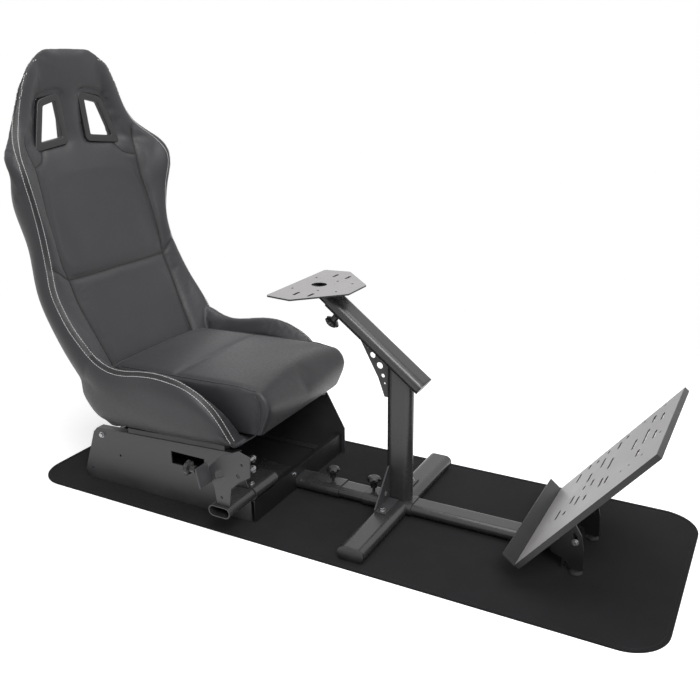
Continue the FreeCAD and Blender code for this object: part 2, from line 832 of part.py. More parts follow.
column = tube("column", "XY_Plane", cell("column_wide"), cell("column_thick"), cell("column_wall"),
              arm_under(0) - column_top, upright=True)
trim = sketch(column, "YZ_Plane", "column_trim")
reach = cell("column_wide") / 2 + 5
near_z = arm_under(-cell("stand_at") - reach) - column_top
far_z = arm_under(-cell("stand_at") + reach) - column_top
high_z = arm_under(0) - column_top + 20
outline(trim, [(-reach, near_z), (reach, far_z), (reach, high_z), (-reach, high_z)])
pocket(column, trim)
place(column, 0, -cell("stand_at"), column_top)

for label, side in (("column_brace_right", -1), ("column_brace_left", 1)):
    brace = body(label)
    face = sketch(brace, "XZ_Plane", label + "_face")
    inner = cell("column_thick") / 2
    reach = cell("brace_reach")
    high = cell("brace_high")
    outline(face, [(side * inner, 0), (side * reach, 0), (side * reach, 8),
                   (side * (inner + 8), high), (side * inner, high)])
    disc(face, side * (inner + 24), 26, 8)
    pad(brace, face, cell("brace_thick"), middle=True)
    flange = sketch(brace, "XZ_Plane", label + "_flange")
    rectangle(flange, side * (inner + 4), 0, side * reach, cell("brace_thick"))
    pad(brace, flange, cell("brace_flange"))
    place(brace, 0, -cell("stand_at") + 22, column_top)

arm = tube("arm_sleeve", "XY_Plane", cell("sleeve_wide"), cell("sleeve_high"), cell("sleeve_wall"),
           cell("arm_length"))
place(arm, 0, arm_y, arm_z, arm_turn)

arm_cap = body("arm_cap")
arm_cap_face = sketch(arm_cap, "XY_Plane", "arm_cap_face")
obround(arm_cap_face, cell("sleeve_wide"), cell("sleeve_high"))
pad(arm_cap, arm_cap_face, cell("cap_thick"), back=True)
place(arm_cap, 0, arm_y, arm_z, arm_turn)

# lightening holes of the gusset: distance from the column, height over its foot, radius
GUSSET_HOLES = [(44, 107, 8), (24, 82, 9), (15, 56, 5.5), (10, 36, 3)]
gusset = body("arm_gusset")
gusset_face = sketch(gusset, "YZ_Plane", "gusset_face")
back_y = -cell("stand_at") + cell("column_wide") / 2
low_z = FLOOR + cell("gusset_low")
outline(gusset_face, [
    (back_y, low_z), (back_y + 10, low_z), (back_y + 28, low_z + 50), (back_y + 56, low_z + 102),
    (back_y + 90, arm_under(back_y + 90)), (back_y, arm_under(back_y)),
])
for across, up, radius in GUSSET_HOLES:
    disc(gusset_face, back_y + across, low_z + up, radius)
pad(gusset, gusset_face, cell("gusset_thick"), middle=True)
fillet(gusset, cell("gusset_round"), lambda edge: along(X_AXIS)(edge)
       and back_y.value + 20 < edge.BoundBox.YMin < back_y.value + 60)

knob = star_knob("arm_knob", cell("stud_out"))
knob_run = cell("arm_length") - cell("arm_knob_back")
half_high = cell("sleeve_high") / 2
knob_y = arm_y + knob_run * cosine(cell("arm_angle")) + half_high * sine(cell("arm_angle"))
knob_z = arm_z + knob_run * sine(cell("arm_angle")) - half_high * cosine(cell("arm_angle"))
place(knob, 0, knob_y, knob_z, arm_turn - 90)

# Wheel deck: the inner arm tube, cut level under the plate that takes the wheel base.
plate_low = FLOOR + cell("wheel_level") - cell("plate_thick")
wheel_raw = tube("wheel_raw", "XY_Plane", TUBE_WIDE, TUBE_HIGH, cell("tube_wall"),
                 cell("arm_inset") + cell("arm_length"))
inset = cell("arm_length") - cell("arm_inset")
place(wheel_raw, 0, arm_y + inset * cosine(cell("arm_angle")),
      arm_z + inset * sine(cell("arm_angle")), arm_turn)
cutter = doc.addObject("Part::Box", "wheel_trim")
for prop in ("Length", "Width", "Height"):
    bind(cutter, prop, 2 * cell("mat_width"))
place(cutter, -cell("mat_width"), -cell("mat_width"), plate_low)
wheel_tube = doc.addObject("Part::Cut", "wheel_tube")
wheel_tube.Label = "wheel_tube"
wheel_tube.Base = wheel_raw
wheel_tube.Tool = cutter

# slots and round holes of the wheel plate: half spacing, distance
WHEEL_SLOTS = [(100, 86), (96, 47)]
WHEEL_HOLES = [(51, 53), (43, 6), (60, 122)]
plate = body("wheel_plate")
plate_face = sketch(plate, "XY_Plane", "wheel_plate_face")
wide = cell("plate_half")
nose = cell("plate_nose")
tail = cell("plate_back_half")
outline(plate_face, [
    (-nose, -cell("plate_front")), (nose, -cell("plate_front")), (wide, cell("plate_side")),
    (tail, cell("plate_rear")), (-tail, cell("plate_rear")), (-wide, cell("plate_side")),
])
pad(plate, plate_face, cell("plate_thick"))
fillet(plate, cell("plate_corner"), along(Z_AXIS))
plate_holes = sketch(plate, "XY_Plane", "wheel_plate_holes")
disc(plate_holes, 0, cell("cable_hole_at"), cell("cable_hole"))
for side in (-1, 1):
    for across, at in WHEEL_SLOTS:
        obround(plate_holes, cell("wheel_slot_long"), cell("wheel_slot_wide"), side * across, at)
    for across, at in WHEEL_HOLES:
        disc(plate_holes, side * across, at, cell("bolt_hole"))
pocket(plate, plate_holes)
place(plate, 0, 0, plate_low)

# Pedal plate: a slotted sheet with folded rims and a heel lip, on two ears that hang on the legs.
pedal_turn = 180 - cell("pedal_angle")
up_y = sine(cell("pedal_angle"))
up_z = cosine(cell("pedal_angle"))
start_y = pivot_y + cell("pedal_drop") * up_y + cell("pedal_lower") * up_z
start_z = pivot_z + cell("pedal_drop") * up_z - cell("pedal_lower") * up_y

# slots of the pedal plate: left end, right end, distance up the plate
SLOTS = [
    (-83, -35, 88), (120, 169, 88), (-95, -77, 120), (-41, 0, 123), (160, 186, 119),
    (-84, -41, 154), (-7, 12, 155), (37, 87, 154), (150, 167, 152), (-102, -77, 188),
    (-25, 8, 186), (74, 128, 188), (159, 175, 188), (-91, -45, 232), (5, 69, 232),
    (122, 163, 232), (-101, -66, 254), (156, 173, 254), (4, 63, 309), (-85, -49, 344),
    (-20, 65, 348), (108, 152, 348), (-44, 2, 384), (67, 110, 384),
]
# round holes of the pedal plate: across, distance up the plate
ROUND = [(-109, 305), (-109, 329), (-109, 367), (-40, 404), (180, 372), (180, 306)]

pedal = body("pedal_plate")
pedal_face = sketch(pedal, "XY_Plane", "pedal_face")
half = cell("pedal_half")
long = cell("pedal_length")
rectangle(pedal_face, -half, 0, half, long)
pad(pedal, pedal_face, cell("pedal_sheet"))
pedal_holes = sketch(pedal, "XY_Plane", "pedal_holes")
for left, right, run in SLOTS:
    obround(pedal_holes, right - left, cell("pedal_slot"), (left + right) / 2.0, run)
for across, run in ROUND:
    disc(pedal_holes, across, run, cell("bolt_hole"))
pocket(pedal, pedal_holes)
place(pedal, 0, start_y, start_z, pedal_turn)

rim = body("pedal_rim")
rim_face = sketch(rim, "XY_Plane", "rim_face")
edge = cell("pedal_sheet")
outline(rim_face, [
    (-half - edge, 0), (-half, 0), (-half, long), (half, long), (half, 0), (half + edge, 0),
    (half + edge, long + edge), (-half - edge, long + edge),
])
pad(rim, rim_face, cell("rim_deep"))
place(rim, 0, start_y, start_z, pedal_turn)

lip = body("heel_lip")
lip_face = sketch(lip, "XY_Plane", "lip_face")
rectangle(lip_face, -half - edge, -edge, half + edge, 0)
pad(lip, lip_face, cell("lip_high") + edge, back=True)
place(lip, 0, start_y - edge * up_y, start_z - edge * up_z, pedal_turn)

ear_face_x = leg_inner - cell("ear_gap")
for side, word in ((-1, "right"), (1, "left")):
    ear = body("pedal_ear_" + word)
    face = sketch(ear, "YZ_Plane", "pedal_ear_face_" + word)
    top = cell("pedal_drop")
    lower = cell("pedal_lower")
    outline(face, [
        (lower - 44, edge), (lower + 62, edge), (lower + 62, 12), (lower + 40, top + 26),
        (lower + 22, top + 44), (lower + 4, top + 44), (lower - 12, top + 12), (lower - 44, 12),
    ])
    pad(ear, face, cell("ear_thick"), back=side > 0)
    fillet(ear, cell("ear_round"), lambda side_edge: along(X_AXIS)(side_edge)
           and side_edge.BoundBox.ZMin > edge.value + 1)
    place(ear, side * ear_face_x, start_y, start_z, pedal_turn)
    pin = doc.addObject("Part::Cylinder", "pedal_pin_" + word)
    pin.Label = "pedal_pin_" + word
    bind(pin, "Radius", cell("bolt_radius"))
    bind(pin, "Height", cell("ear_gap") + cell("leg_thick") + 6)
    pin.Placement.Rotation = FreeCAD.Rotation(FreeCAD.Vector(0, 1, 0), side * 90)
    for axis, number in zip("xyz", (side * ear_face_x, pivot_y, pivot_z)):
        bind(pin, "Placement.Base." + axis, number)

NODES = [
    "floor_mat", "base_side_right", "base_side_left", "base_front_panel", "base_rear_panel",
    "base_sleeve", "sleeve_knob", "seat_rail_right", "seat_rail_left", "seat_shell",
    "seat_cushion", "harness_bezel_right", "harness_bezel_left", "shifter_bracket",
    "shifter_sleeve", "shifter_tube", "shifter_knob", "rail_tube", "pedal_cross_plate", "pedal_leg_right",
    "pedal_leg_left", "pedal_foot_right", "pedal_foot_left", "stand_sleeve", "stand_foot_right",
    "stand_foot_left", "foot_cap_right", "foot_cap_left", "stand_knob", "column",
    "column_brace_right", "column_brace_left", "arm_sleeve", "arm_cap", "arm_gusset", "arm_knob",
    "wheel_tube", "wheel_plate", "pedal_plate", "pedal_rim", "heel_lip", "pedal_ear_right",
    "pedal_ear_left", "pedal_pin_right", "pedal_pin_left",
]

doc.recompute()
for obj in doc.Objects:
    if "Invalid" in obj.State or "Error" in obj.State:
        raise RuntimeError("%s did not build: %s" % (obj.Label, obj.State))
os.makedirs("parts", exist_ok=True)
for name in NODES:
    shape = doc.getObjectsByLabel(name)[0].Shape
    if shape.isNull() or not shape.isValid():
        raise RuntimeError("%s has no valid shape" % name)
    shape.exportStep("parts/%s.step" % name)
    box = shape.BoundBox
    print("%-22s x %7.1f %7.1f  y %7.1f %7.1f  z %7.1f %7.1f  solids %d vol %.0f" % (
        name, box.XMin, box.XMax, box.YMin, box.YMax, box.ZMin, box.ZMax, len(shape.Solids),
        shape.Volume / 1000))
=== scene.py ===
import json
import math

import bmesh
import bpy
import numpy as np
from bpy.props import FloatProperty, FloatVectorProperty, PointerProperty
from bpy.types import Operator, Panel, PropertyGroup
from mathutils import Matrix, Quaternion, Vector
from mathutils.bvhtree import BVHTree
from mathutils.kdtree import KDTree


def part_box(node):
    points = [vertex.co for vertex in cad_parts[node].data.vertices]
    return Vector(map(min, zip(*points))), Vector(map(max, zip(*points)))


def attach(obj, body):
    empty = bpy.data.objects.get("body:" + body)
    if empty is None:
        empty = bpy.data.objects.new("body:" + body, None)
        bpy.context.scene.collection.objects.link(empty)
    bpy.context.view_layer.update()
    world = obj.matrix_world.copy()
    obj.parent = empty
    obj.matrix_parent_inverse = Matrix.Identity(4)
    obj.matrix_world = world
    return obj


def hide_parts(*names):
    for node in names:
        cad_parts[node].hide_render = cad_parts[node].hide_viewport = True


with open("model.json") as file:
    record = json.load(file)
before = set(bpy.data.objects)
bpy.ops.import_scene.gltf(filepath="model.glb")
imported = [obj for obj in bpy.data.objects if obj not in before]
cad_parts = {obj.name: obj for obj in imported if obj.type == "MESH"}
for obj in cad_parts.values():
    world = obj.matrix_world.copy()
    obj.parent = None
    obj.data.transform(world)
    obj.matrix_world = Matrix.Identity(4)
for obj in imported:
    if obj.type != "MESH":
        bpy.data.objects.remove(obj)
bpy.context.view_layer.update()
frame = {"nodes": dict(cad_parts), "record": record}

bl_info = {
    "name": "Racing cockpit dressing",
    "version": (1, 0, 0),
    "blender": (4, 5, 0),
    "location": "View3D > Sidebar > Cockpit",
    "description": "Upholstery, mat, paint, fasteners and studio for a racing cockpit",
    "category": "Object",
}

SIDES = (-1, 1)
SIDE_NAMES = {-1: "right", 1: "left"}


class CockpitSizes(PropertyGroup):
    """Sizes of the dressing that a user may change."""

    voxel: FloatProperty(name="Cover mesh", description="Mesh size of the sewn covers",
                         default=0.006, unit="LENGTH")
    shell_swell: FloatProperty(name="Shell swell", description="Most that the shell's foam swells",
                               default=0.004, unit="LENGTH")
    cushion_swell: FloatProperty(name="Cushion swell", description="Most that the cushion swells",
                                 default=0.013, unit="LENGTH")
    seam_depth: FloatProperty(name="Seam depth", description="How deep a seam pulls the cover in",
                              default=0.0035, unit="LENGTH")
    seam_reach: FloatProperty(name="Seam reach", description="How far from a seam the cover dips",
                              default=0.009, unit="LENGTH")
    stitch_long: FloatProperty(name="Stitch length", description="Length of one stitch",
                               default=0.0052, unit="LENGTH")
    stitch_step: FloatProperty(name="Stitch step", description="Distance from stitch to stitch",
                               default=0.0068, unit="LENGTH")
    stitch_thick: FloatProperty(name="Thread", description="Radius of the sewing thread",
                                default=0.0009, unit="LENGTH")
    stitch_off: FloatProperty(name="Stitch offset", description="Distance of a row from its seam",
                              default=0.0072, unit="LENGTH")
    piping: FloatProperty(name="Piping", description="Radius of the cushion's piped seam",
                          default=0.0022, unit="LENGTH")
    hem_wide: FloatProperty(name="Hem", description="Width of the mat's bound edge",
                            default=0.011, unit="LENGTH")
    hem_proud: FloatProperty(name="Hem lift", description="Height of the bound edge over the felt",
                             default=0.0009, unit="LENGTH")
    hem_edge: FloatProperty(name="Hem edge", description="Width of the slope beside the bound edge",
                            default=0.0015, unit="LENGTH")
    mat_corner: FloatProperty(name="Mat corner", description="Radius of the mat's corners",
                              default=0.095, unit="LENGTH")
    bezel_wide: FloatProperty(name="Bezel", description="Width of a harness bezel's rim",
                              default=0.020, unit="LENGTH")
    bezel_inset: FloatProperty(name="Bezel inset", description="How far a bezel narrows its opening",
                               default=0.005, unit="LENGTH")
    bezel_deep: FloatProperty(name="Bezel depth", description="How deep a bezel goes into its opening",
                              default=0.016, unit="LENGTH")
    bezel_corner: FloatProperty(name="Bezel corner", description="Corner radius of a bezel",
                                default=0.015, unit="LENGTH")
    bezel_round: FloatProperty(name="Bezel edge", description="Radius of a bezel's eased edges",
                               default=0.0028, unit="LENGTH")
    bezel_proud: FloatProperty(name="Bezel lift", description="How far a rim stands off the cover",
                               default=0.001, unit="LENGTH")
    head_rise: FloatProperty(name="Head rise", description="How far the padding lifts the head's top",
                             default=0.024, unit="LENGTH")
    head_spread: FloatProperty(name="Head spread", description="How far padding widens the head's top",
                               default=0.030, unit="LENGTH")
    # Painted shadow: a dark bead sunk in each panel seam draws the shadow line of its groove.
    seam_shadow_bead: FloatProperty(name="Seam bead", description="Radius of a panel seam's dark thread",
                             default=0.0011, unit="LENGTH")


class CockpitColours(PropertyGroup):
    """Colours of the finishes, as linear values."""

    cover: FloatVectorProperty(name="Cover", description="Seat cover", subtype="COLOR",
                               default=(0.0235, 0.023, 0.0263))
    thread: FloatVectorProperty(name="Thread", description="Sewing thread", subtype="COLOR",
                                default=(0.72, 0.72, 0.72))
    # Painted shadow: colour of the bead that draws the shadow line in the panel seams' grooves.
    seam: FloatVectorProperty(name="Seam", description="Dark thread of the panel seams",
                              subtype="COLOR", default=(0.004, 0.004, 0.0045))
    # Dark paint, also standing as painted shade on the front panel, the pedal rim, the heel lip and the
    # plates' slot walls.
    shade_paint: FloatVectorProperty(name="Dark paint", description="Legs, rims and seat rails",
                                     subtype="COLOR", default=(0.010, 0.010, 0.011))
    frame_paint: FloatVectorProperty(name="Frame paint", description="Sheet steel", subtype="COLOR",
                                     default=(0.049, 0.048, 0.051))
    tube_paint: FloatVectorProperty(name="Tube paint", description="Flat-oval tubes", subtype="COLOR",
                                    default=(0.037, 0.0365, 0.0385))
    # Painted light: the plates' upper faces get a light grey for the light they catch; their rims and
    # slot walls take the dark paint as painted shade.
    plate_paint: FloatVectorProperty(name="Plate paint", description="Wheel and pedal plates",
                                     subtype="COLOR", default=(0.30, 0.29, 0.295))
    plastic: FloatVectorProperty(name="Plastic", description="Knobs, caps and bezels", subtype="COLOR",
                                 default=(0.014, 0.014, 0.015))
    rubber: FloatVectorProperty(name="Rubber", description="Foot pads", subtype="COLOR",
                                default=(0.016, 0.016, 0.016))
    felt: FloatVectorProperty(name="Felt", description="Floor mat", subtype="COLOR",
                              default=(0.0105, 0.0101, 0.0114))
    binding: FloatVectorProperty(name="Binding", description="Mat edge", subtype="COLOR",
                                 default=(0.012, 0.012, 0.0125))
    zinc: FloatVectorProperty(name="Zinc", description="Bolts and nuts", subtype="COLOR",
                              default=(0.40, 0.40, 0.41))
    floor: FloatVectorProperty(name="Floor", description="Studio floor", subtype="COLOR",
                               default=(0.9, 0.9, 0.9))


class CockpitStudio(PropertyGroup):
    """Camera and lamps."""

    place: FloatVectorProperty(name="Camera", description="Camera position", subtype="TRANSLATION",
                               unit="LENGTH", default=(-1.798, -0.976, 1.133))
    yaw: FloatProperty(name="Yaw", description="Heading from +X", subtype="ANGLE",
                       default=math.radians(28.29))
    pitch: FloatProperty(name="Pitch", description="Downward tilt", subtype="ANGLE",
                         default=math.radians(19.04))
    roll: FloatProperty(name="Roll", description="Turn about the view line", subtype="ANGLE",
                        default=math.radians(-0.685))
    lens: FloatProperty(name="Lens", description="Focal length in millimetres", default=43.19)
    sky: FloatProperty(name="Sky", description="Strength of the room light", default=0.23)
    key: FloatProperty(name="Key", description="Power of the key lamp", default=78.0)
    top: FloatProperty(name="Top", description="Power of the overhead lamp", default=62.0)
    glow: FloatProperty(name="Floor glow", description="Light that the floor adds to be seen as white",
                        default=0.62)
    floor_near: FloatProperty(name="Floor", description="Radius where the floor starts to fade",
                              default=1.1, unit="LENGTH")
    floor_far: FloatProperty(name="Floor end", description="Radius where the floor has faded",
                             default=1.9, unit="LENGTH")


# Seams of the seat, as points on its left half in metres; the right half mirrors them.
WING_SEAM = [
    (0.253, 0.190, 0.227), (0.259, 0.216, 0.274), (0.265, 0.254, 0.324), (0.271, 0.312, 0.363),
    (0.277, 0.385, 0.380), (0.276, 0.427, 0.380), (0.273, 0.471, 0.375), (0.270, 0.518, 0.367),
    (0.269, 0.570, 0.368), (0.267, 0.618, 0.385), (0.266, 0.645, 0.408), (0.270, 0.689, 0.462),
    (0.267, 0.729, 0.525), (0.264, 0.746, 0.564), (0.253, 0.762, 0.621), (0.250, 0.769, 0.654),
    (0.253, 0.773, 0.721), (0.265, 0.771, 0.788), (0.275, 0.768, 0.822), (0.282, 0.769, 0.857),
    (0.279, 0.782, 0.891), (0.265, 0.806, 0.919), (0.246, 0.831, 0.942), (0.230, 0.847, 0.962),
    (0.213, 0.859, 0.992), (0.200, 0.865, 1.023), (0.188, 0.867, 1.054), (0.176, 0.867, 1.084),
    (0.158, 0.868, 1.113), (0.135, 0.868, 1.138), (0.109, 0.866, 1.154),
]
INSERT_SEAM = [
    (0.203, 0.842, 0.948), (0.201, 0.839, 0.911), (0.194, 0.823, 0.860), (0.194, 0.814, 0.808),
    (0.200, 0.797, 0.748), (0.201, 0.777, 0.669), (0.201, 0.768, 0.633), (0.199, 0.760, 0.603),
    (0.194, 0.753, 0.575), (0.194, 0.728, 0.512), (0.190, 0.709, 0.471), (0.186, 0.695, 0.442),
    (0.180, 0.668, 0.390), (0.174, 0.640, 0.340),
]
NECK_SEAM = [
    (0.139, 0.854, 0.908), (0.149, 0.846, 0.893), (0.161, 0.839, 0.881), (0.194, 0.827, 0.872),
]
LUMBAR_SEAM = [(0.194, 0.753, 0.575), (0.10, 0.753, 0.573), (0.0, 0.754, 0.574)]
HIP_SEAM = [(0.194, 0.753, 0.575), (0.226, 0.751, 0.601), (0.247, 0.755, 0.615)]
HEAD_FOLD = [
    (0.037, 0.872, 1.057), (0.054, 0.870, 1.063), (0.077, 0.870, 1.060), (0.107, 0.872, 1.050),
    (0.126, 0.873, 1.037), (0.137, 0.871, 1.021), (0.147, 0.869, 1.001),
]
CUSHION_CROSS = [(0.195, 0.414, 0.358), (0.10, 0.421, 0.358), (0.0, 0.416, 0.358)]
CUSHION_SIDE = [
    (0.192, 0.600, 0.352), (0.194, 0.450, 0.356), (0.194, 0.260, 0.360), (0.194, 0.190, 0.358),
    (0.193, 0.155, 0.342), (0.193, 0.142, 0.312), (0.193, 0.146, 0.262), (0.192, 0.158, 0.240),
]
# Fasteners: body, place, way the head points, thread radius and bare thread under the head, in metres.
FASTENERS = [
    ("base", (-0.235, 0.657, 0.149), (-1, 0, 0), 0.0042, 0.0),
    ("base", (0.235, 0.657, 0.149), (1, 0, 0), 0.0042, 0.0),
    ("base", (-0.041, 0.150, 0.054), (0, -1, 0), 0.0034, 0.0),
    ("base", (-0.212, 0.172, 0.1024), (0, 0, 1), 0.0042, 0.0),
    ("shifter", (-0.331, 0.096, 0.205), (1, 0, 0), 0.0046, 0.022),
    ("shifter", (-0.331, 0.100, 0.228), (1, 0, 0), 0.0046, 0.030),
    ("stand", (-0.090, -0.146, 0.0444), (0, 0, 1), 0.0042, 0.0),
    ("stand", (0.090, -0.146, 0.0444), (0, 0, 1), 0.0042, 0.0),
    ("stand", (-0.035, -0.178, 0.0224), (-1, 0, 0), 0.0042, 0.0),
    ("rail", (-0.086, -0.634, 0.085), (-1, 0, 0), 0.0042, 0.0),
    ("rail", (0.086, -0.634, 0.085), (1, 0, 0), 0.0042, 0.0),
]
# Steel pieces in the darker paint, by the start of their names: paint on the legs, ears, cross plate and
# seat rails, painted shade on the front panel, pedal rim and heel lip.
DARK_PIECES = ("base_front_panel", "seat_rail", "pedal_leg", "pedal_ear", "pedal_rim", "pedal_cross",
               "heel_lip")
# Plates whose slot walls get the dark paint as painted shade.
SLOTTED_PLATES = ("wheel_plate", "pedal_plate")
# A face of a plate whose normal agrees less than this with the plate's own is a wall or a rim.
WALL_AGREEMENT = 0.5

# Head of the seat: where its padding starts, half its width there, and how its crown is rounded.
HEAD_START = 1.09
HEAD_HALF = 0.12
CROWN_ARCH = 0.85
CROWN_DEEP = 0.10
CROWN_ROUNDS = 60

# Left harness opening as x and z, its middle, the level of the cover round it, and a place before it.
BEZEL_CORNERS = [(0.050, 1.042), (0.049, 0.935), (0.141, 0.925), (0.106, 1.029)]
BEZEL_MIDDLE = (0.09, 0.98)
BEZEL_LEVEL = 0.87
BEZEL_FRONT = 0.5
BEZEL_SHARP = 0.9
CORNER_STEPS = 6

# Covers: steps on a seam, rounds of smoothing, and how far a smoothed cover goes back to its solid.
CURVE_STEPS = 24
SHELL_STEP = 0.004
CUSHION_STEP = 0.006
EVEN_ROUNDS = 6
PATH_ROUNDS = 6
CUSHION_ROUNDS = 10
RETURN_SHARE = 0.85
# Foam: pressure under each cover, frames of swelling, and the height below which a cover is held.
SHELL_PRESSURE = 3.0
CUSHION_PRESSURE = 4.0
SWELL_FRAMES = 20
SHELL_HELD = 0.215
CUSHION_HELD = 0.012
# Seams: depth and reach of the wing seams, the bezels' rims and the painted shade along the seams, by
# the panel seams'.
WING_DEPTH = 0.4
RIM_DEPTH = 1.4
RIM_REACH = 2.4
SEAM_SHADE_REACH = 0.5
STITCH_LIFT = 0.5
STITCH_TAPER = 0.8
# Washers and bolt heads, by the thread's radius.
WASHER_HIGH = 0.35
WASHER_FOOT = 2.1
WASHER_TOP = 2.0
BOLT_HIGH = 1.25
BOLT_WIDE = 1.65
BOLT_CHAMFER = 0.28

# The part of a texture's range that the finishes use.
TEXTURE_LOW, TEXTURE_HIGH = 0.3, 0.7
# Painted shade: the share of the cover's colour left at the darkest part of a seam's groove.
SEAM_SHADE = 0.12

FLOOR_HALF = 20.0
SENSOR_WIDE = 36.0
# Lamps: name, place, aim, width in metres, and the studio value that holds the power.
LAMPS = [
    ("key", (-2.3, -1.9, 3.1), (0.0, 0.3, 0.4), 1.6, "key"),
    ("overhead", (0.2, -0.4, 3.2), (0.0, 0.1, 0.0), 2.6, "top"),
]


def mirrored(points, side):
    """Points of the left half, or their mirror image."""
    return [Vector((side * x, y, z)) for x, y, z in points]


def smooth_path(points, step):
    """Points at an even step on a smooth curve through the given ones."""
    ends = [2 * points[0] - points[1]] + points + [2 * points[-1] - points[-2]]
    fine = []
    for a, b, c, d in zip(ends, ends[1:], ends[2:], ends[3:]):
        for i in range(CURVE_STEPS):
            t = i / CURVE_STEPS
            fine.append(0.5 * (2 * b + (c - a) * t + (2 * a - 5 * b + 4 * c - d) * t * t
                               + (3 * b - a - 3 * c + d) * t ** 3))
    fine.append(points[-1])
    even = [fine[0]]
    carried = 0.0
    for a, b in zip(fine, fine[1:]):
        span = (b - a).length
        while carried + span >= step:
            share = (step - carried) / span
            a = a.lerp(b, share)
            even.append(a.copy())
            span = (b - a).length
            carried = 0.0
        carried += span
    return even


# Finishes

def shader(name, colour, roughness, metallic=0.0):
    """A new material: its tree, its principled shader, and object coordinates."""
    made = bpy.data.materials.new(name)
    made.use_nodes = True
    tree = made.node_tree
    surface = tree.nodes["Principled BSDF"]
    surface.inputs["Base Color"].default_value = (*colour, 1.0)
    surface.inputs["Roughness"].default_value = roughness
    surface.inputs["Metallic"].default_value = metallic
    coords = tree.nodes.new("ShaderNodeTexCoord").outputs["Object"]
    return made, tree, surface, coords


def noise(tree, coords, scale, detail=3.0, rough=0.55):
    """A cloudy texture value."""
    made = tree.nodes.new("ShaderNodeTexNoise")
    made.inputs["Scale"].default_value = scale
    made.inputs["Detail"].default_value = detail
    made.inputs["Roughness"].default_value = rough
    tree.links.new(coords, made.inputs["Vector"])
    return made.outputs["Fac"]


def spread(tree, value, low, high):
    """Map the used part of a texture's range onto another range."""
    made = tree.nodes.new("ShaderNodeMapRange")
    made.inputs["From Min"].default_value = TEXTURE_LOW
    made.inputs["From Max"].default_value = TEXTURE_HIGH
    made.inputs["To Min"].default_value = low
    made.inputs["To Max"].default_value = high
    tree.links.new(value, made.inputs["Value"])
    return made.outputs["Result"]


def tint(tree, value, colour, low, high):
    """A colour that a texture darkens and lightens."""
    ramp = tree.nodes.new("ShaderNodeValToRGB")
    for stop, level, at in zip(ramp.color_ramp.elements, (low, high), (TEXTURE_LOW, TEXTURE_HIGH)):
        stop.position = at
        stop.color = (*[min(1.0, channel * level) for channel in colour], 1.0)
    tree.links.new(value, ramp.inputs["Fac"])
    return ramp.outputs["Color"]


def bump(tree, height, strength, distance, under=None):
    """A normal that a texture raises, on top of another normal where there is one."""
    made = tree.nodes.new("ShaderNodeBump")
    made.inputs["Strength"].default_value = strength
    made.inputs["Distance"].default_value = distance
    tree.links.new(height, made.inputs["Height"])
    if under is not None:
        tree.links.new(under, made.inputs["Normal"])
    return made.outputs["Normal"]


def cover_leather(colour):
    """Coated leathercloth: pebbled grain, soft creases and uneven sheen."""
    made, tree, surface, coords = shader("cover_leather", colour, 0.46)
    grain = tree.nodes.new("ShaderNodeTexVoronoi")
    grain.feature = "DISTANCE_TO_EDGE"
    grain.inputs["Scale"].default_value = 620.0
    tree.links.new(coords, grain.inputs["Vector"])
    creases = noise(tree, coords, 26.0, 5.0, 0.6)
    # Painted shade: the cover is darkened along its seams and the head fold, where the grooves lie in
    # shadow.
    seams = tree.nodes.new("ShaderNodeAttribute")
    seams.attribute_name = "seam_near"
    shade = tree.nodes.new("ShaderNodeMix")
    shade.data_type = "RGBA"
    shade.inputs["B"].default_value = (*[channel * SEAM_SHADE for channel in colour], 1.0)
    tree.links.new(seams.outputs["Fac"], shade.inputs["Factor"])
    tree.links.new(tint(tree, noise(tree, coords, 7.0), colour, 0.9, 1.12), shade.inputs["A"])
    tree.links.new(shade.outputs["Result"], surface.inputs["Base Color"])
    tree.links.new(spread(tree, noise(tree, coords, 140.0), 0.40, 0.52), surface.inputs["Roughness"])
    soft = bump(tree, creases, 0.12, 0.004)
    tree.links.new(bump(tree, grain.outputs["Distance"], 0.28, 0.0006, soft), surface.inputs["Normal"])
    surface.inputs["Sheen Weight"].default_value = 0.08
    surface.inputs["Specular IOR Level"].default_value = 0.45
    return made


def sewing_thread(name, colour):
    """Twisted thread."""
    made, tree, surface, coords = shader(name, colour, 0.6)
    twist = noise(tree, coords, 1400.0, 2.0)
    tree.links.new(tint(tree, twist, colour, 0.8, 1.1), surface.inputs["Base Color"])
    tree.links.new(bump(tree, twist, 0.4, 0.0003), surface.inputs["Normal"])
    return made


def steel_paint(name, colour, roughness):
    """Powder coat: fine orange peel, eased edges and faint scuffs."""
    made, tree, surface, coords = shader(name, colour, roughness)
    eased = tree.nodes.new("ShaderNodeBevel")
    eased.samples = 4
    eased.inputs["Radius"].default_value = 0.0009
    peel = noise(tree, coords, 900.0, 2.0)
    scuffs = noise(tree, coords, 18.0, 6.0, 0.65)
    tree.links.new(tint(tree, scuffs, colour, 0.92, 1.1), surface.inputs["Base Color"])
    tree.links.new(spread(tree, scuffs, roughness - 0.05, roughness + 0.06),
                   surface.inputs["Roughness"])
    tree.links.new(bump(tree, peel, 0.10, 0.0003, eased.outputs["Normal"]), surface.inputs["Normal"])
    return made


def moulded_plastic(name, colour, roughness):
    """Moulded plastic or rubber with a fine eroded texture."""
    made, tree, surface, coords = shader(name, colour, roughness)
    texture = noise(tree, coords, 1600.0, 2.0)
    wear = noise(tree, coords, 35.0, 4.0)
    tree.links.new(tint(tree, wear, colour, 0.85, 1.2), surface.inputs["Base Color"])
    tree.links.new(spread(tree, wear, roughness - 0.06, roughness + 0.06), surface.inputs["Roughness"])
    tree.links.new(bump(tree, texture, 0.22, 0.0002), surface.inputs["Normal"])
    return made


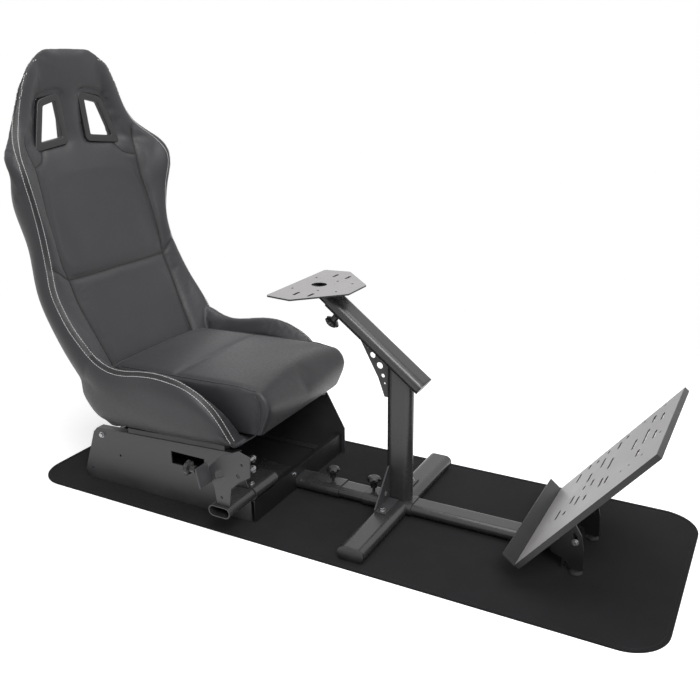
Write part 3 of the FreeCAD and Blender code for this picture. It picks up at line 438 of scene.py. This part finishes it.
def needle_felt(colour):
    """Needle-punched felt: matted fibres, uneven tone."""
    made, tree, surface, coords = shader("needle_felt", colour, 0.92)
    fibres = noise(tree, coords, 520.0, 6.0, 0.75)
    clouds = noise(tree, coords, 9.0, 4.0)
    tree.links.new(tint(tree, clouds, colour, 0.86, 1.16), surface.inputs["Base Color"])
    matted = bump(tree, noise(tree, coords, 60.0, 4.0), 0.15, 0.002)
    tree.links.new(bump(tree, fibres, 0.6, 0.0012, matted), surface.inputs["Normal"])
    surface.inputs["Sheen Weight"].default_value = 0.08
    surface.inputs["Sheen Roughness"].default_value = 0.6
    surface.inputs["Specular IOR Level"].default_value = 0.08
    return made


def woven_binding(colour):
    """Woven tape with fine cross ribs."""
    made, tree, surface, coords = shader("woven_binding", colour, 0.8)
    ribs = noise(tree, coords, 700.0, 1.0)
    tree.links.new(tint(tree, ribs, colour, 0.7, 1.25), surface.inputs["Base Color"])
    tree.links.new(bump(tree, ribs, 0.5, 0.0008), surface.inputs["Normal"])
    surface.inputs["Sheen Weight"].default_value = 0.2
    return made


def zinc_plate(colour):
    """Bright zinc on small fasteners."""
    made, tree, surface, coords = shader("zinc_plate", colour, 0.3, 1.0)
    haze = noise(tree, coords, 240.0, 4.0)
    tree.links.new(tint(tree, haze, colour, 0.8, 1.1), surface.inputs["Base Color"])
    tree.links.new(spread(tree, haze, 0.22, 0.38), surface.inputs["Roughness"])
    return made


def finishes():
    """All finishes by the record's material slot, made once."""
    found = {m.get("finish_slot"): m for m in bpy.data.materials if m.get("finish_slot")}
    if found:
        return found
    colours = bpy.context.scene.cockpit_colours
    made = {
        "seat_cover": cover_leather(colours.cover),
        "thread": sewing_thread("sewing_thread", colours.thread),
        # Painted shadow: the dark bead in the panel seams stands for the shadow line of their grooves.
        "seam": sewing_thread("seam_thread", colours.seam),
        "frame_paint": steel_paint("frame_paint", colours.frame_paint, 0.42),
        # Dark paint, and painted shade where it stands for pieces that lie in shadow.
        "shade_paint": steel_paint("shade_paint", colours.shade_paint, 0.42),
        "tube_paint": steel_paint("tube_paint", colours.tube_paint, 0.25),
        # Painted light: the light grey of the plates' upper faces stands for the light they catch.
        "plate_paint": steel_paint("plate_paint", colours.plate_paint, 0.40),
        "black_plastic": moulded_plastic("black_plastic", colours.plastic, 0.36),
        "rubber_pad": moulded_plastic("rubber_pad", colours.rubber, 0.75),
        "felt": needle_felt(colours.felt),
        "binding": woven_binding(colours.binding),
        "bright_bolt": zinc_plate(colours.zinc),
    }
    for slot, finish in made.items():
        finish["finish_slot"] = slot
    return made


# Mesh helpers

def piece(name, bm, body, slot, smooth=True):
    """A finished piece from a mesh, with its finish, riding on a body."""
    mesh = bpy.data.meshes.new(name)
    bm.to_mesh(mesh)
    bm.free()
    if smooth:
        mesh.shade_smooth()
    return dress(name, mesh, body, slot)


def dress(name, mesh, body, slot):
    """An object of a mesh, with its finish, riding on a body."""
    made = bpy.data.objects.new(name, mesh)
    bpy.context.scene.collection.objects.link(made)
    mesh.materials.clear()
    mesh.materials.append(finishes()[slot])
    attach(made, body)
    return made


def cover_mesh(node, voxel):
    """A closed even mesh of a soft CAD solid, freed of its facets."""
    bm = bmesh.new()
    bm.from_mesh(frame["nodes"][node].data)
    bmesh.ops.remove_doubles(bm, verts=bm.verts, dist=1e-5)
    mesh = bpy.data.meshes.new(node + "_cover")
    bm.to_mesh(mesh)
    solid = BVHTree.FromBMesh(bm)
    bm.free()
    blank = bpy.data.objects.new(node + "_cover", mesh)
    bpy.context.scene.collection.objects.link(blank)
    remesh = blank.modifiers.new("even", "REMESH")
    remesh.mode = "VOXEL"
    remesh.voxel_size = voxel
    even = bpy.data.meshes.new_from_object(blank.evaluated_get(bpy.context.evaluated_depsgraph_get()))
    bpy.data.objects.remove(blank)
    relax(even, EVEN_ROUNDS)
    for v in even.vertices:
        v.co = v.co.lerp(solid.find_nearest(v.co)[0], RETURN_SHARE)
    even.update()
    return even


def seam_distances(mesh, paths):
    """Distance of every vertex from the nearest seam."""
    points = [p for path in paths for p in path]
    tree = KDTree(len(points))
    for i, p in enumerate(points):
        tree.insert(p, i)
    tree.balance()
    return np.array([tree.find(v.co)[2] for v in mesh.vertices])


def swell(mesh, held, limit, pressure):
    """Blow the cover up with cloth, held at its seams, and cap how far it goes."""
    rest = np.array([v.co for v in mesh.vertices])
    pad = bpy.data.objects.new("swelling", mesh)
    bpy.context.scene.collection.objects.link(pad)
    group = pad.vertex_groups.new(name="held")
    group.add([int(i) for i in np.nonzero(held)[0]], 1.0, "REPLACE")
    cloth = pad.modifiers.new("foam", "CLOTH")
    cloth.settings.quality = 4
    cloth.settings.mass = 0.4
    cloth.settings.tension_stiffness = 12.0
    cloth.settings.compression_stiffness = 12.0
    cloth.settings.bending_stiffness = 2.0
    cloth.settings.use_pressure = True
    cloth.settings.uniform_pressure_force = pressure
    cloth.settings.effector_weights.gravity = 0.0
    cloth.settings.vertex_group_mass = "held"
    cloth.collision_settings.use_collision = False
    cloth.point_cache.frame_start = 1
    cloth.point_cache.frame_end = SWELL_FRAMES
    scene = bpy.context.scene
    for number in range(1, SWELL_FRAMES + 1):
        scene.frame_set(number)
    evaluated = pad.evaluated_get(bpy.context.evaluated_depsgraph_get())
    grown = np.array([v.co for v in evaluated.data.vertices])
    scene.frame_set(1)
    bpy.data.objects.remove(pad)
    move = grown - rest
    length = np.linalg.norm(move, axis=1, keepdims=True)
    move *= np.minimum(1.0, limit / np.maximum(length, 1e-9))
    mesh.vertices.foreach_set("co", (rest + move).astype(np.float32).ravel())
    mesh.update()


def draw_in(mesh, distances, depth, reach):
    """Pull the cover in along its seams."""
    normals = np.array([v.normal for v in mesh.vertices])
    rest = np.array([v.co for v in mesh.vertices])
    dip = depth * np.exp(-(distances / reach) ** 2)
    mesh.vertices.foreach_set("co", (rest - normals * dip[:, None]).astype(np.float32).ravel())
    mesh.update()


def relax(mesh, rounds):
    """Even out small steps and lumps of a cover."""
    bm = bmesh.new()
    bm.from_mesh(mesh)
    for _ in range(rounds):
        bmesh.ops.smooth_vert(bm, verts=bm.verts, factor=0.5, use_axis_x=True, use_axis_y=True,
                              use_axis_z=True)
    bm.to_mesh(mesh)
    bm.free()


def fastener(bm, place, way, radius, bare):
    """A washer and a chamfered hexagon head standing on a face, or at the end of a bare thread."""
    place, way = Vector(place), Vector(way)
    turn = way.to_track_quat("Z", "Y").to_matrix().to_4x4()
    if bare > 0.0:
        bmesh.ops.create_cone(bm, cap_ends=True, segments=16, radius1=radius, radius2=radius, depth=bare,
                              matrix=Matrix.Translation(place + way * (bare / 2)) @ turn)
    place = place + way * bare
    turn = Matrix.Translation(place) @ turn
    thin = WASHER_HIGH * radius
    high = BOLT_HIGH * radius
    bmesh.ops.create_cone(bm, cap_ends=True, segments=24, radius1=WASHER_FOOT * radius,
                          radius2=WASHER_TOP * radius, depth=thin,
                          matrix=turn @ Matrix.Translation((0, 0, thin / 2)))
    head = bmesh.ops.create_cone(bm, cap_ends=True, segments=6, radius1=BOLT_WIDE * radius,
                                 radius2=BOLT_WIDE * radius, depth=high,
                                 matrix=turn @ Matrix.Translation((0, 0, thin + high / 2)))["verts"]
    outer = sorted(head, key=lambda v: (v.co - place).dot(way))[6:]
    rim = {e for v in outer for e in v.link_edges if e.other_vert(v) in outer}
    bmesh.ops.bevel(bm, geom=list(rim), offset=BOLT_CHAMFER * radius, affect="EDGES", segments=2,
                    profile=0.5, material=-1)


def eased(value, low, high):
    """A smooth step from zero to one between two values."""
    share = min(1.0, max(0.0, (value - low) / (high - low)))
    return share * share * (3.0 - 2.0 * share)


def pad_head(mesh, top, rise, widen):
    """Fill the head out to a rounded crown, growing towards its top."""
    for v in mesh.vertices:
        share = eased(v.co.z, HEAD_START, top)
        across = min(1.0, max(-1.0, v.co.x / HEAD_HALF))
        v.co.z += rise * share * (1.0 - CROWN_ARCH * across * across)
        v.co.x += widen * share * math.sin(across * math.pi / 2)
    sharp = [v.co.copy() for v in mesh.vertices]
    relax(mesh, CROWN_ROUNDS)
    for v, old in zip(mesh.vertices, sharp):
        v.co = old.lerp(v.co, eased(old.z, top - CROWN_DEEP, top))


def surface_of(mesh):
    """A search tree of a mesh's faces."""
    bm = bmesh.new()
    bm.from_mesh(mesh)
    tree = BVHTree.FromBMesh(bm)
    bm.free()
    return tree


def laid(tree, points):
    """Points moved to the nearest places of a surface."""
    return [tree.find_nearest(p)[0] for p in points]


def on_cover(tree, points, step):
    """A smooth path laid on a cover."""
    path = laid(tree, smooth_path(points, step))
    for _ in range(PATH_ROUNDS):
        inner = [(a + 2 * b + c) / 4 for a, b, c in zip(path, path[1:], path[2:])]
        path = laid(tree, path[:1] + inner + path[-1:])
    return path


def paint_seam_shade(mesh, distances, reach):
    """Keep on the mesh how near each point is to a seam, for the finish to paint the shade of its
    groove.
    """
    near = mesh.attributes.new("seam_near", "FLOAT", "POINT")
    near.data.foreach_set("value", np.exp(-(distances / reach) ** 2).astype(np.float32))


def stitch_row(bm, path, tree, off, sizes):
    """One row of stitches beside a seam, laid on the cover."""
    for before, here, after in zip(path, path[1:], path[2:]):
        along = (after - before).normalized()
        spot, normal, _, _ = tree.find_nearest(here)
        across = normal.cross(along).normalized()
        spot, normal, _, _ = tree.find_nearest(spot + across * off)
        along = (along - normal * along.dot(normal)).normalized()
        turn = Matrix((along, normal.cross(along), normal)).transposed().to_4x4()
        tip = Matrix.Rotation(math.pi / 2, 4, "Y")
        seat = Matrix.Translation(spot + normal * (sizes.stitch_thick * STITCH_LIFT))
        bmesh.ops.create_cone(bm, cap_ends=True, segments=6, radius1=sizes.stitch_thick,
                              radius2=sizes.stitch_thick * STITCH_TAPER, depth=sizes.stitch_long,
                              matrix=seat @ turn @ tip)


def swept(bm, path, radius, segments=8):
    """A round bead along a path."""
    rings = []
    for i, here in enumerate(path):
        along = (path[min(i + 1, len(path) - 1)] - path[max(i - 1, 0)]).normalized()
        turn = along.to_track_quat("Z", "Y").to_matrix().to_4x4()
        ring = bmesh.ops.create_circle(bm, segments=segments, radius=radius,
                                       matrix=Matrix.Translation(here) @ turn)["verts"]
        rings.append([e for v in ring for e in v.link_edges])
    for one, two in zip(rings, rings[1:]):
        bmesh.ops.bridge_loops(bm, edges=list(set(one + two)))
    for ring in (rings[0], rings[-1]):
        bmesh.ops.contextual_create(bm, geom=list(set(ring)))


class COCKPIT_OT_seat(Operator):
    """Cover the bucket seat: foam held by its seams, and white double stitching on the wings"""

    bl_idname = "cockpit.seat"
    bl_label = "Seat shell"

    def execute(self, context):
        sizes = context.scene.cockpit_sizes
        mesh = cover_mesh("seat_shell", sizes.voxel)
        pad_head(mesh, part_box("seat_shell")[1].z, sizes.head_rise, sizes.head_spread)
        tree = surface_of(mesh)
        wings, panels, rims, folds = [], [], [], []
        for side in SIDES:
            wings.append(on_cover(tree, mirrored(WING_SEAM, side), SHELL_STEP))
            for points in (INSERT_SEAM, NECK_SEAM, LUMBAR_SEAM, HIP_SEAM):
                panels.append(on_cover(tree, mirrored(points, side), SHELL_STEP))
            folds.append(on_cover(tree, mirrored(HEAD_FOLD, side), SHELL_STEP))
            rim = [(x, BEZEL_LEVEL, z) for x, z in BEZEL_CORNERS + BEZEL_CORNERS[:1]]
            rims.append(on_cover(tree, mirrored(rim, side), SHELL_STEP))
        panel_far = seam_distances(mesh, panels)
        wing_far = seam_distances(mesh, wings)
        rim_far = seam_distances(mesh, rims)
        heights = np.array([v.co.z for v in mesh.vertices])
        nearest = np.minimum(np.minimum(panel_far, wing_far), rim_far)
        held = (nearest < sizes.voxel) | (heights < SHELL_HELD)
        swell(mesh, held, sizes.shell_swell, SHELL_PRESSURE)
        draw_in(mesh, wing_far, WING_DEPTH * sizes.seam_depth, sizes.seam_reach)
        draw_in(mesh, panel_far, sizes.seam_depth, sizes.seam_reach)
        draw_in(mesh, rim_far, RIM_DEPTH * sizes.seam_depth, RIM_REACH * sizes.seam_reach)
        fold_far = seam_distances(mesh, folds)
        draw_in(mesh, fold_far, sizes.seam_depth, sizes.seam_reach)
        # Painted shade along the seams, and weaker along the head fold.
        mark = SEAM_SHADE_REACH * sizes.seam_reach
        paint_seam_shade(mesh, np.minimum(np.minimum(panel_far, wing_far), fold_far + mark), mark)
        mesh.shade_smooth()
        made = dress("seat_shell_cover", mesh, "base", "seat_cover")
        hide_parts("seat_shell")

        tree = surface_of(mesh)
        bm = bmesh.new()
        for side in SIDES:
            path = on_cover(tree, mirrored(WING_SEAM, side), sizes.stitch_step)
            for off in (-sizes.stitch_off, sizes.stitch_off):
                stitch_row(bm, path, tree, off, sizes)
        piece("wing_stitching", bm, "base", "thread")
        # Painted shadow: a thin dark bead in the panel seams' grooves, for the shadow line the mesh is
        # too coarse to show.
        bm = bmesh.new()
        for path in panels:
            swept(bm, laid(tree, path), sizes.seam_shadow_bead, 6)
        bmesh.ops.recalc_face_normals(bm, faces=bm.faces)
        piece("panel_seams", bm, "base", "seam")
        return {"FINISHED"}


class COCKPIT_OT_cushion(Operator):
    """Cover the seat cushion: crowned foam, a cross seam and piped sides"""

    bl_idname = "cockpit.cushion"
    bl_label = "Seat cushion"

    def execute(self, context):
        sizes = context.scene.cockpit_sizes
        mesh = cover_mesh("seat_cushion", sizes.voxel)
        tree = surface_of(mesh)
        sides, cross = ([laid(tree, smooth_path(mirrored(seam, side), CUSHION_STEP)) for side in SIDES]
                        for seam in (CUSHION_SIDE, CUSHION_CROSS))
        distances = seam_distances(mesh, sides + cross)
        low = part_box("seat_cushion")[0].z
        heights = np.array([v.co.z for v in mesh.vertices])
        held = (distances < sizes.voxel) | (heights < low + CUSHION_HELD)
        swell(mesh, held, sizes.cushion_swell, CUSHION_PRESSURE)
        relax(mesh, CUSHION_ROUNDS)
        draw_in(mesh, distances, sizes.seam_depth, sizes.seam_reach)
        mesh.shade_smooth()
        made = dress("seat_cushion_cover", mesh, "base", "seat_cover")
        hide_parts("seat_cushion")

        tree = surface_of(mesh)
        bm = bmesh.new()
        for path in sides:
            swept(bm, laid(tree, path), sizes.piping)
        bmesh.ops.recalc_face_normals(bm, faces=bm.faces)
        piece("cushion_piping", bm, "base", "seat_cover")
        return {"FINISHED"}


class COCKPIT_OT_bezels(Operator):
    """Rounded plastic bezels in the harness openings"""

    bl_idname = "cockpit.bezels"
    bl_label = "Harness bezels"

    def execute(self, context):
        sizes = context.scene.cockpit_sizes
        cover = surface_of(bpy.data.objects["seat_shell_cover"].data)
        for side in SIDES:
            node = "harness_bezel_" + SIDE_NAMES[side]
            bm = bmesh.new()
            outer = self.rounded(self.grown(BEZEL_CORNERS, sizes.bezel_wide - sizes.bezel_inset),
                                 sizes.bezel_corner)
            inner = self.rounded(self.grown(BEZEL_CORNERS, -sizes.bezel_inset), sizes.bezel_corner / 3)
            outer, inner = ([bm.verts.new((side * x, 0.0, z)) for x, z in ring]
                            for ring in (outer, inner))
            for index in range(len(outer)):
                bm.faces.new((outer[index - 1], outer[index], inner[index], inner[index - 1]))
            grown = bmesh.ops.extrude_face_region(bm, geom=bm.faces[:])["geom"]
            rear = {g for g in grown if isinstance(g, bmesh.types.BMVert)}
            plane = self.plane(cover, side, sizes.bezel_wide)
            for v in bm.verts:
                v.co.y = plane @ Vector((v.co.x, v.co.z, 1.0)) - sizes.bezel_proud
            for v in rear:
                v.co.y += sizes.bezel_deep
            bmesh.ops.recalc_face_normals(bm, faces=bm.faces)
            sharp = [e for e in bm.edges if e.calc_face_angle(0.0) > BEZEL_SHARP]
            bmesh.ops.bevel(bm, geom=sharp, offset=sizes.bezel_round, affect="EDGES", segments=3,
                            profile=0.5, material=-1)
            made = piece(node + "_rim", bm, "base", "black_plastic")
            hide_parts(node)
        return {"FINISHED"}

    def grown(self, corners, distance):
        """The corners of an outline whose edges are moved outward."""
        moved = []
        for before, here, after in zip(corners[-1:] + corners, corners, corners[1:] + corners[:1]):
            way_in = (Vector(here) - Vector(before)).normalized()
            way_out = (Vector(after) - Vector(here)).normalized()
            one, two = Vector((-way_in.y, way_in.x)), Vector((-way_out.y, way_out.x))
            if (Vector(here) - Vector(BEZEL_MIDDLE)).dot(one + two) < 0:
                one, two = -one, -two
            moved.append(Vector(here) + (one + two) * (distance / (1.0 + one.dot(two))))
        return moved

    def rounded(self, corners, radius):
        """An outline whose corners are turned along short curves."""
        turned = []
        for before, here, after in zip(corners[-1:] + corners, corners, corners[1:] + corners[:1]):
            start = here + (before - here).normalized() * radius
            end = here + (after - here).normalized() * radius
            for step in range(CORNER_STEPS + 1):
                share = step / CORNER_STEPS
                turned.append(start.lerp(here, share).lerp(here.lerp(end, share), share))
        return turned

    def plane(self, cover, side, margin):
        """The plane of the cover round an opening, as factors of x, z and one."""
        ring = self.grown(BEZEL_CORNERS, margin)
        ring += [(a + b) / 2 for a, b in zip(ring, ring[1:] + ring[:1])]
        rows, levels = [], []
        for x, z in ring:
            hit = cover.ray_cast(Vector((side * x, BEZEL_FRONT, z)), Vector((0, 1, 0)))[0]
            rows.append((side * x, z, 1.0))
            levels.append(hit.y)
        return Vector(np.linalg.lstsq(np.array(rows), np.array(levels), rcond=None)[0])


class COCKPIT_OT_fasteners(Operator):
    """Bright bolts and nuts on the steelwork, one piece for each body"""

    bl_idname = "cockpit.fasteners"
    bl_label = "Fasteners"

    def execute(self, context):
        for body in sorted({row[0] for row in FASTENERS}):
            bm = bmesh.new()
            for owner, *row in FASTENERS:
                if owner == body:
                    fastener(bm, *row)
            piece(body + "_bolts", bm, body, "bright_bolt", smooth=False)
        return {"FINISHED"}


class COCKPIT_OT_mat(Operator):
    """Felt floor mat with a bound edge"""

    bl_idname = "cockpit.mat"
    bl_label = "Floor mat"

    def execute(self, context):
        sizes = context.scene.cockpit_sizes
        low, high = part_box("floor_mat")
        wide, long = high.x - low.x, high.y - low.y
        bm = bmesh.new()
        thick = high.z - low.z - sizes.hem_proud
        bmesh.ops.create_cube(bm, size=1.0, matrix=Matrix.Translation((0, 0, low.z + thick / 2))
                              @ Matrix.Diagonal((wide, long, thick, 1.0)))
        upright = [e for e in bm.edges if abs(e.verts[0].co.z - e.verts[1].co.z) > thick / 2]
        bmesh.ops.bevel(bm, geom=upright, offset=sizes.mat_corner, affect="EDGES", segments=14,
                        profile=0.5, material=-1)
        top = max(bm.faces, key=lambda f: f.calc_center_median().z)
        hem = bmesh.ops.inset_region(bm, faces=[top], thickness=sizes.hem_wide)["faces"]
        hem_edge = bmesh.ops.inset_region(bm, faces=hem, thickness=sizes.hem_edge)["faces"]
        bmesh.ops.translate(bm, verts=list({v for f in hem for v in f.verts}),
                            vec=(0, 0, sizes.hem_proud))
        for f in hem + hem_edge:
            f.material_index = 1
        for f in bm.faces:
            if abs(f.normal.z) < WALL_AGREEMENT:
                f.material_index = 1
        made = piece("floor_mat_felt", bm, "base", "felt", smooth=False)
        made.data.materials.append(finishes()["binding"])
        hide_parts("floor_mat")
        return {"FINISHED"}


class COCKPIT_OT_steelwork(Operator):
    """Paint the steel, plastic and rubber pieces"""

    bl_idname = "cockpit.steelwork"
    bl_label = "Steelwork"

    def execute(self, context):
        slots = {s["node"]: s["material_slot"] for s in frame["record"]["subparts"]}
        for name, node in frame["nodes"].items():
            node.data.materials.clear()
            slot = slots[name]
            # Dark paint, which is painted shade on the front panel under the seat, the pedal rim and the
            # heel lip.
            if name.startswith(DARK_PIECES):
                slot = "shade_paint"
            node.data.materials.append(finishes()[slot])
            if name in SLOTTED_PLATES:
                self.shade_slot_walls(node.data)
        return {"FINISHED"}

    def shade_slot_walls(self, mesh):
        """Give the cut walls of a slotted plate the dark paint, as painted shade for the shadow in the
        slots.
        """
        mesh.materials.append(finishes()["shade_paint"])
        flat = max(mesh.polygons, key=lambda face: face.area).normal.copy()
        for face in mesh.polygons:
            if abs(face.normal.dot(flat)) < WALL_AGREEMENT:
                face.material_index = 1


class COCKPIT_OT_stage(Operator):
    """White studio floor, soft lamps and the camera"""

    bl_idname = "cockpit.stage"
    bl_label = "Studio"

    def execute(self, context):
        scene = context.scene
        studio = scene.cockpit_studio
        bm = bmesh.new()
        bmesh.ops.create_grid(bm, x_segments=1, y_segments=1, size=FLOOR_HALF)
        mesh = bpy.data.meshes.new("studio_floor")
        bm.to_mesh(mesh)
        bm.free()
        floor = bpy.data.objects.new("studio_floor", mesh)
        scene.collection.objects.link(floor)
        mesh.materials.append(self.floor_finish(scene.cockpit_colours.floor, studio))
        self.sky(scene, studio.sky)
        for name, place, aim, wide, power in LAMPS:
            self.lamp(name, place, aim, wide, getattr(studio, power))
        camera = bpy.data.cameras.new("camera")
        camera.lens = studio.lens
        camera.sensor_width = SENSOR_WIDE
        eye = bpy.data.objects.new("camera", camera)
        eye.location = studio.place
        ahead = Vector((math.cos(studio.yaw) * math.cos(studio.pitch),
                        math.sin(studio.yaw) * math.cos(studio.pitch), -math.sin(studio.pitch)))
        eye.rotation_mode = "QUATERNION"
        eye.rotation_quaternion = (ahead.to_track_quat("-Z", "Y")
                                   @ Quaternion((0, 0, 1), studio.roll))
        scene.collection.objects.link(eye)
        scene.camera = eye
        scene.view_settings.view_transform = "Standard"
        return {"FINISHED"}

    def floor_finish(self, colour, studio):
        """Diffuse floor that is seen as white, keeps its shadow and fades into the backdrop."""
        made = bpy.data.materials.new("studio_floor")
        made.use_nodes = True
        tree = made.node_tree
        tree.nodes.remove(tree.nodes["Principled BSDF"])
        matt = tree.nodes.new("ShaderNodeBsdfDiffuse")
        matt.inputs["Color"].default_value = (*colour, 1.0)
        glow = tree.nodes.new("ShaderNodeEmission")
        tree.links.new(self.seen(tree, studio.glow), glow.inputs["Strength"])
        both = tree.nodes.new("ShaderNodeAddShader")
        tree.links.new(matt.outputs[0], both.inputs[0])
        tree.links.new(glow.outputs[0], both.inputs[1])
        far = tree.nodes.new("ShaderNodeVectorMath")
        far.operation = "LENGTH"
        tree.links.new(tree.nodes.new("ShaderNodeTexCoord").outputs["Object"], far.inputs[0])
        fade = tree.nodes.new("ShaderNodeMapRange")
        fade.interpolation_type = "SMOOTHSTEP"
        fade.inputs["From Min"].default_value = studio.floor_near
        fade.inputs["From Max"].default_value = studio.floor_far
        tree.links.new(far.outputs["Value"], fade.inputs["Value"])
        blend = tree.nodes.new("ShaderNodeMixShader")
        tree.links.new(fade.outputs["Result"], blend.inputs["Fac"])
        tree.links.new(both.outputs[0], blend.inputs[1])
        tree.links.new(tree.nodes.new("ShaderNodeBsdfTransparent").outputs[0], blend.inputs[2])
        tree.links.new(blend.outputs[0], tree.nodes["Material Output"].inputs["Surface"])
        return made

    def seen(self, tree, strength):
        """A strength for rays that come from the camera, a gloss or a glass, and none for others."""
        path = tree.nodes.new("ShaderNodeLightPath")
        total = None
        for ray in ("Is Camera Ray", "Is Glossy Ray", "Is Transmission Ray"):
            if total is None:
                total = path.outputs[ray]
                continue
            most = tree.nodes.new("ShaderNodeMath")
            most.operation = "MAXIMUM"
            tree.links.new(total, most.inputs[0])
            tree.links.new(path.outputs[ray], most.inputs[1])
            total = most.outputs[0]
        scaled = tree.nodes.new("ShaderNodeMath")
        scaled.operation = "MULTIPLY"
        scaled.inputs[1].default_value = strength
        tree.links.new(total, scaled.inputs[0])
        return scaled.outputs[0]

    def sky(self, scene, strength):
        """Even room light, seen as a white backdrop."""
        world = bpy.data.worlds.new("studio_sky")
        world.use_nodes = True
        tree = world.node_tree
        back = tree.nodes["Background"]
        back.inputs["Color"].default_value = (1.0, 1.0, 1.0, 1.0)
        lifted = tree.nodes.new("ShaderNodeMath")
        lifted.operation = "ADD"
        lifted.inputs[1].default_value = strength
        tree.links.new(self.seen(tree, 1.0 - strength), lifted.inputs[0])
        tree.links.new(lifted.outputs[0], back.inputs["Strength"])
        scene.world = world

    def lamp(self, name, place, aim, wide, power):
        """A square soft lamp that points at a place."""
        light = bpy.data.lights.new(name, "AREA")
        light.shape = "SQUARE"
        light.size = wide
        light.energy = power
        made = bpy.data.objects.new(name, light)
        made.location = place
        made.rotation_mode = "QUATERNION"
        made.rotation_quaternion = (Vector(aim) - Vector(place)).to_track_quat("-Z", "Y")
        bpy.context.scene.collection.objects.link(made)


OPERATORS = (
    COCKPIT_OT_steelwork, COCKPIT_OT_mat, COCKPIT_OT_seat, COCKPIT_OT_cushion, COCKPIT_OT_bezels,
    COCKPIT_OT_fasteners, COCKPIT_OT_stage,
)


class COCKPIT_PT_dressing(Panel):
    """Lists the cockpit's pieces in the sidebar"""

    bl_idname = "COCKPIT_PT_dressing"
    bl_label = "Cockpit"
    bl_space_type = "VIEW_3D"
    bl_region_type = "UI"
    bl_category = "Cockpit"

    def draw(self, context):
        column = self.layout.column()
        for operator in OPERATORS:
            column.operator(operator.bl_idname)
        for group in (context.scene.cockpit_sizes, context.scene.cockpit_colours,
                      context.scene.cockpit_studio):
            box = self.layout.box()
            for name in group.__annotations__:
                box.prop(group, name)


CLASSES = (CockpitSizes, CockpitColours, CockpitStudio, *OPERATORS, COCKPIT_PT_dressing)


def register():
    for one in CLASSES:
        bpy.utils.register_class(one)
    bpy.types.Scene.cockpit_sizes = PointerProperty(type=CockpitSizes)
    bpy.types.Scene.cockpit_colours = PointerProperty(type=CockpitColours)
    bpy.types.Scene.cockpit_studio = PointerProperty(type=CockpitStudio)


def unregister():
    for name in ("cockpit_sizes", "cockpit_colours", "cockpit_studio"):
        delattr(bpy.types.Scene, name)
    for one in reversed(CLASSES):
        bpy.utils.unregister_class(one)


def main():
    register()
    for operator in OPERATORS:
        group, name = operator.bl_idname.split(".")
        getattr(getattr(bpy.ops, group), name)()


if __name__ == "__main__":
    main()
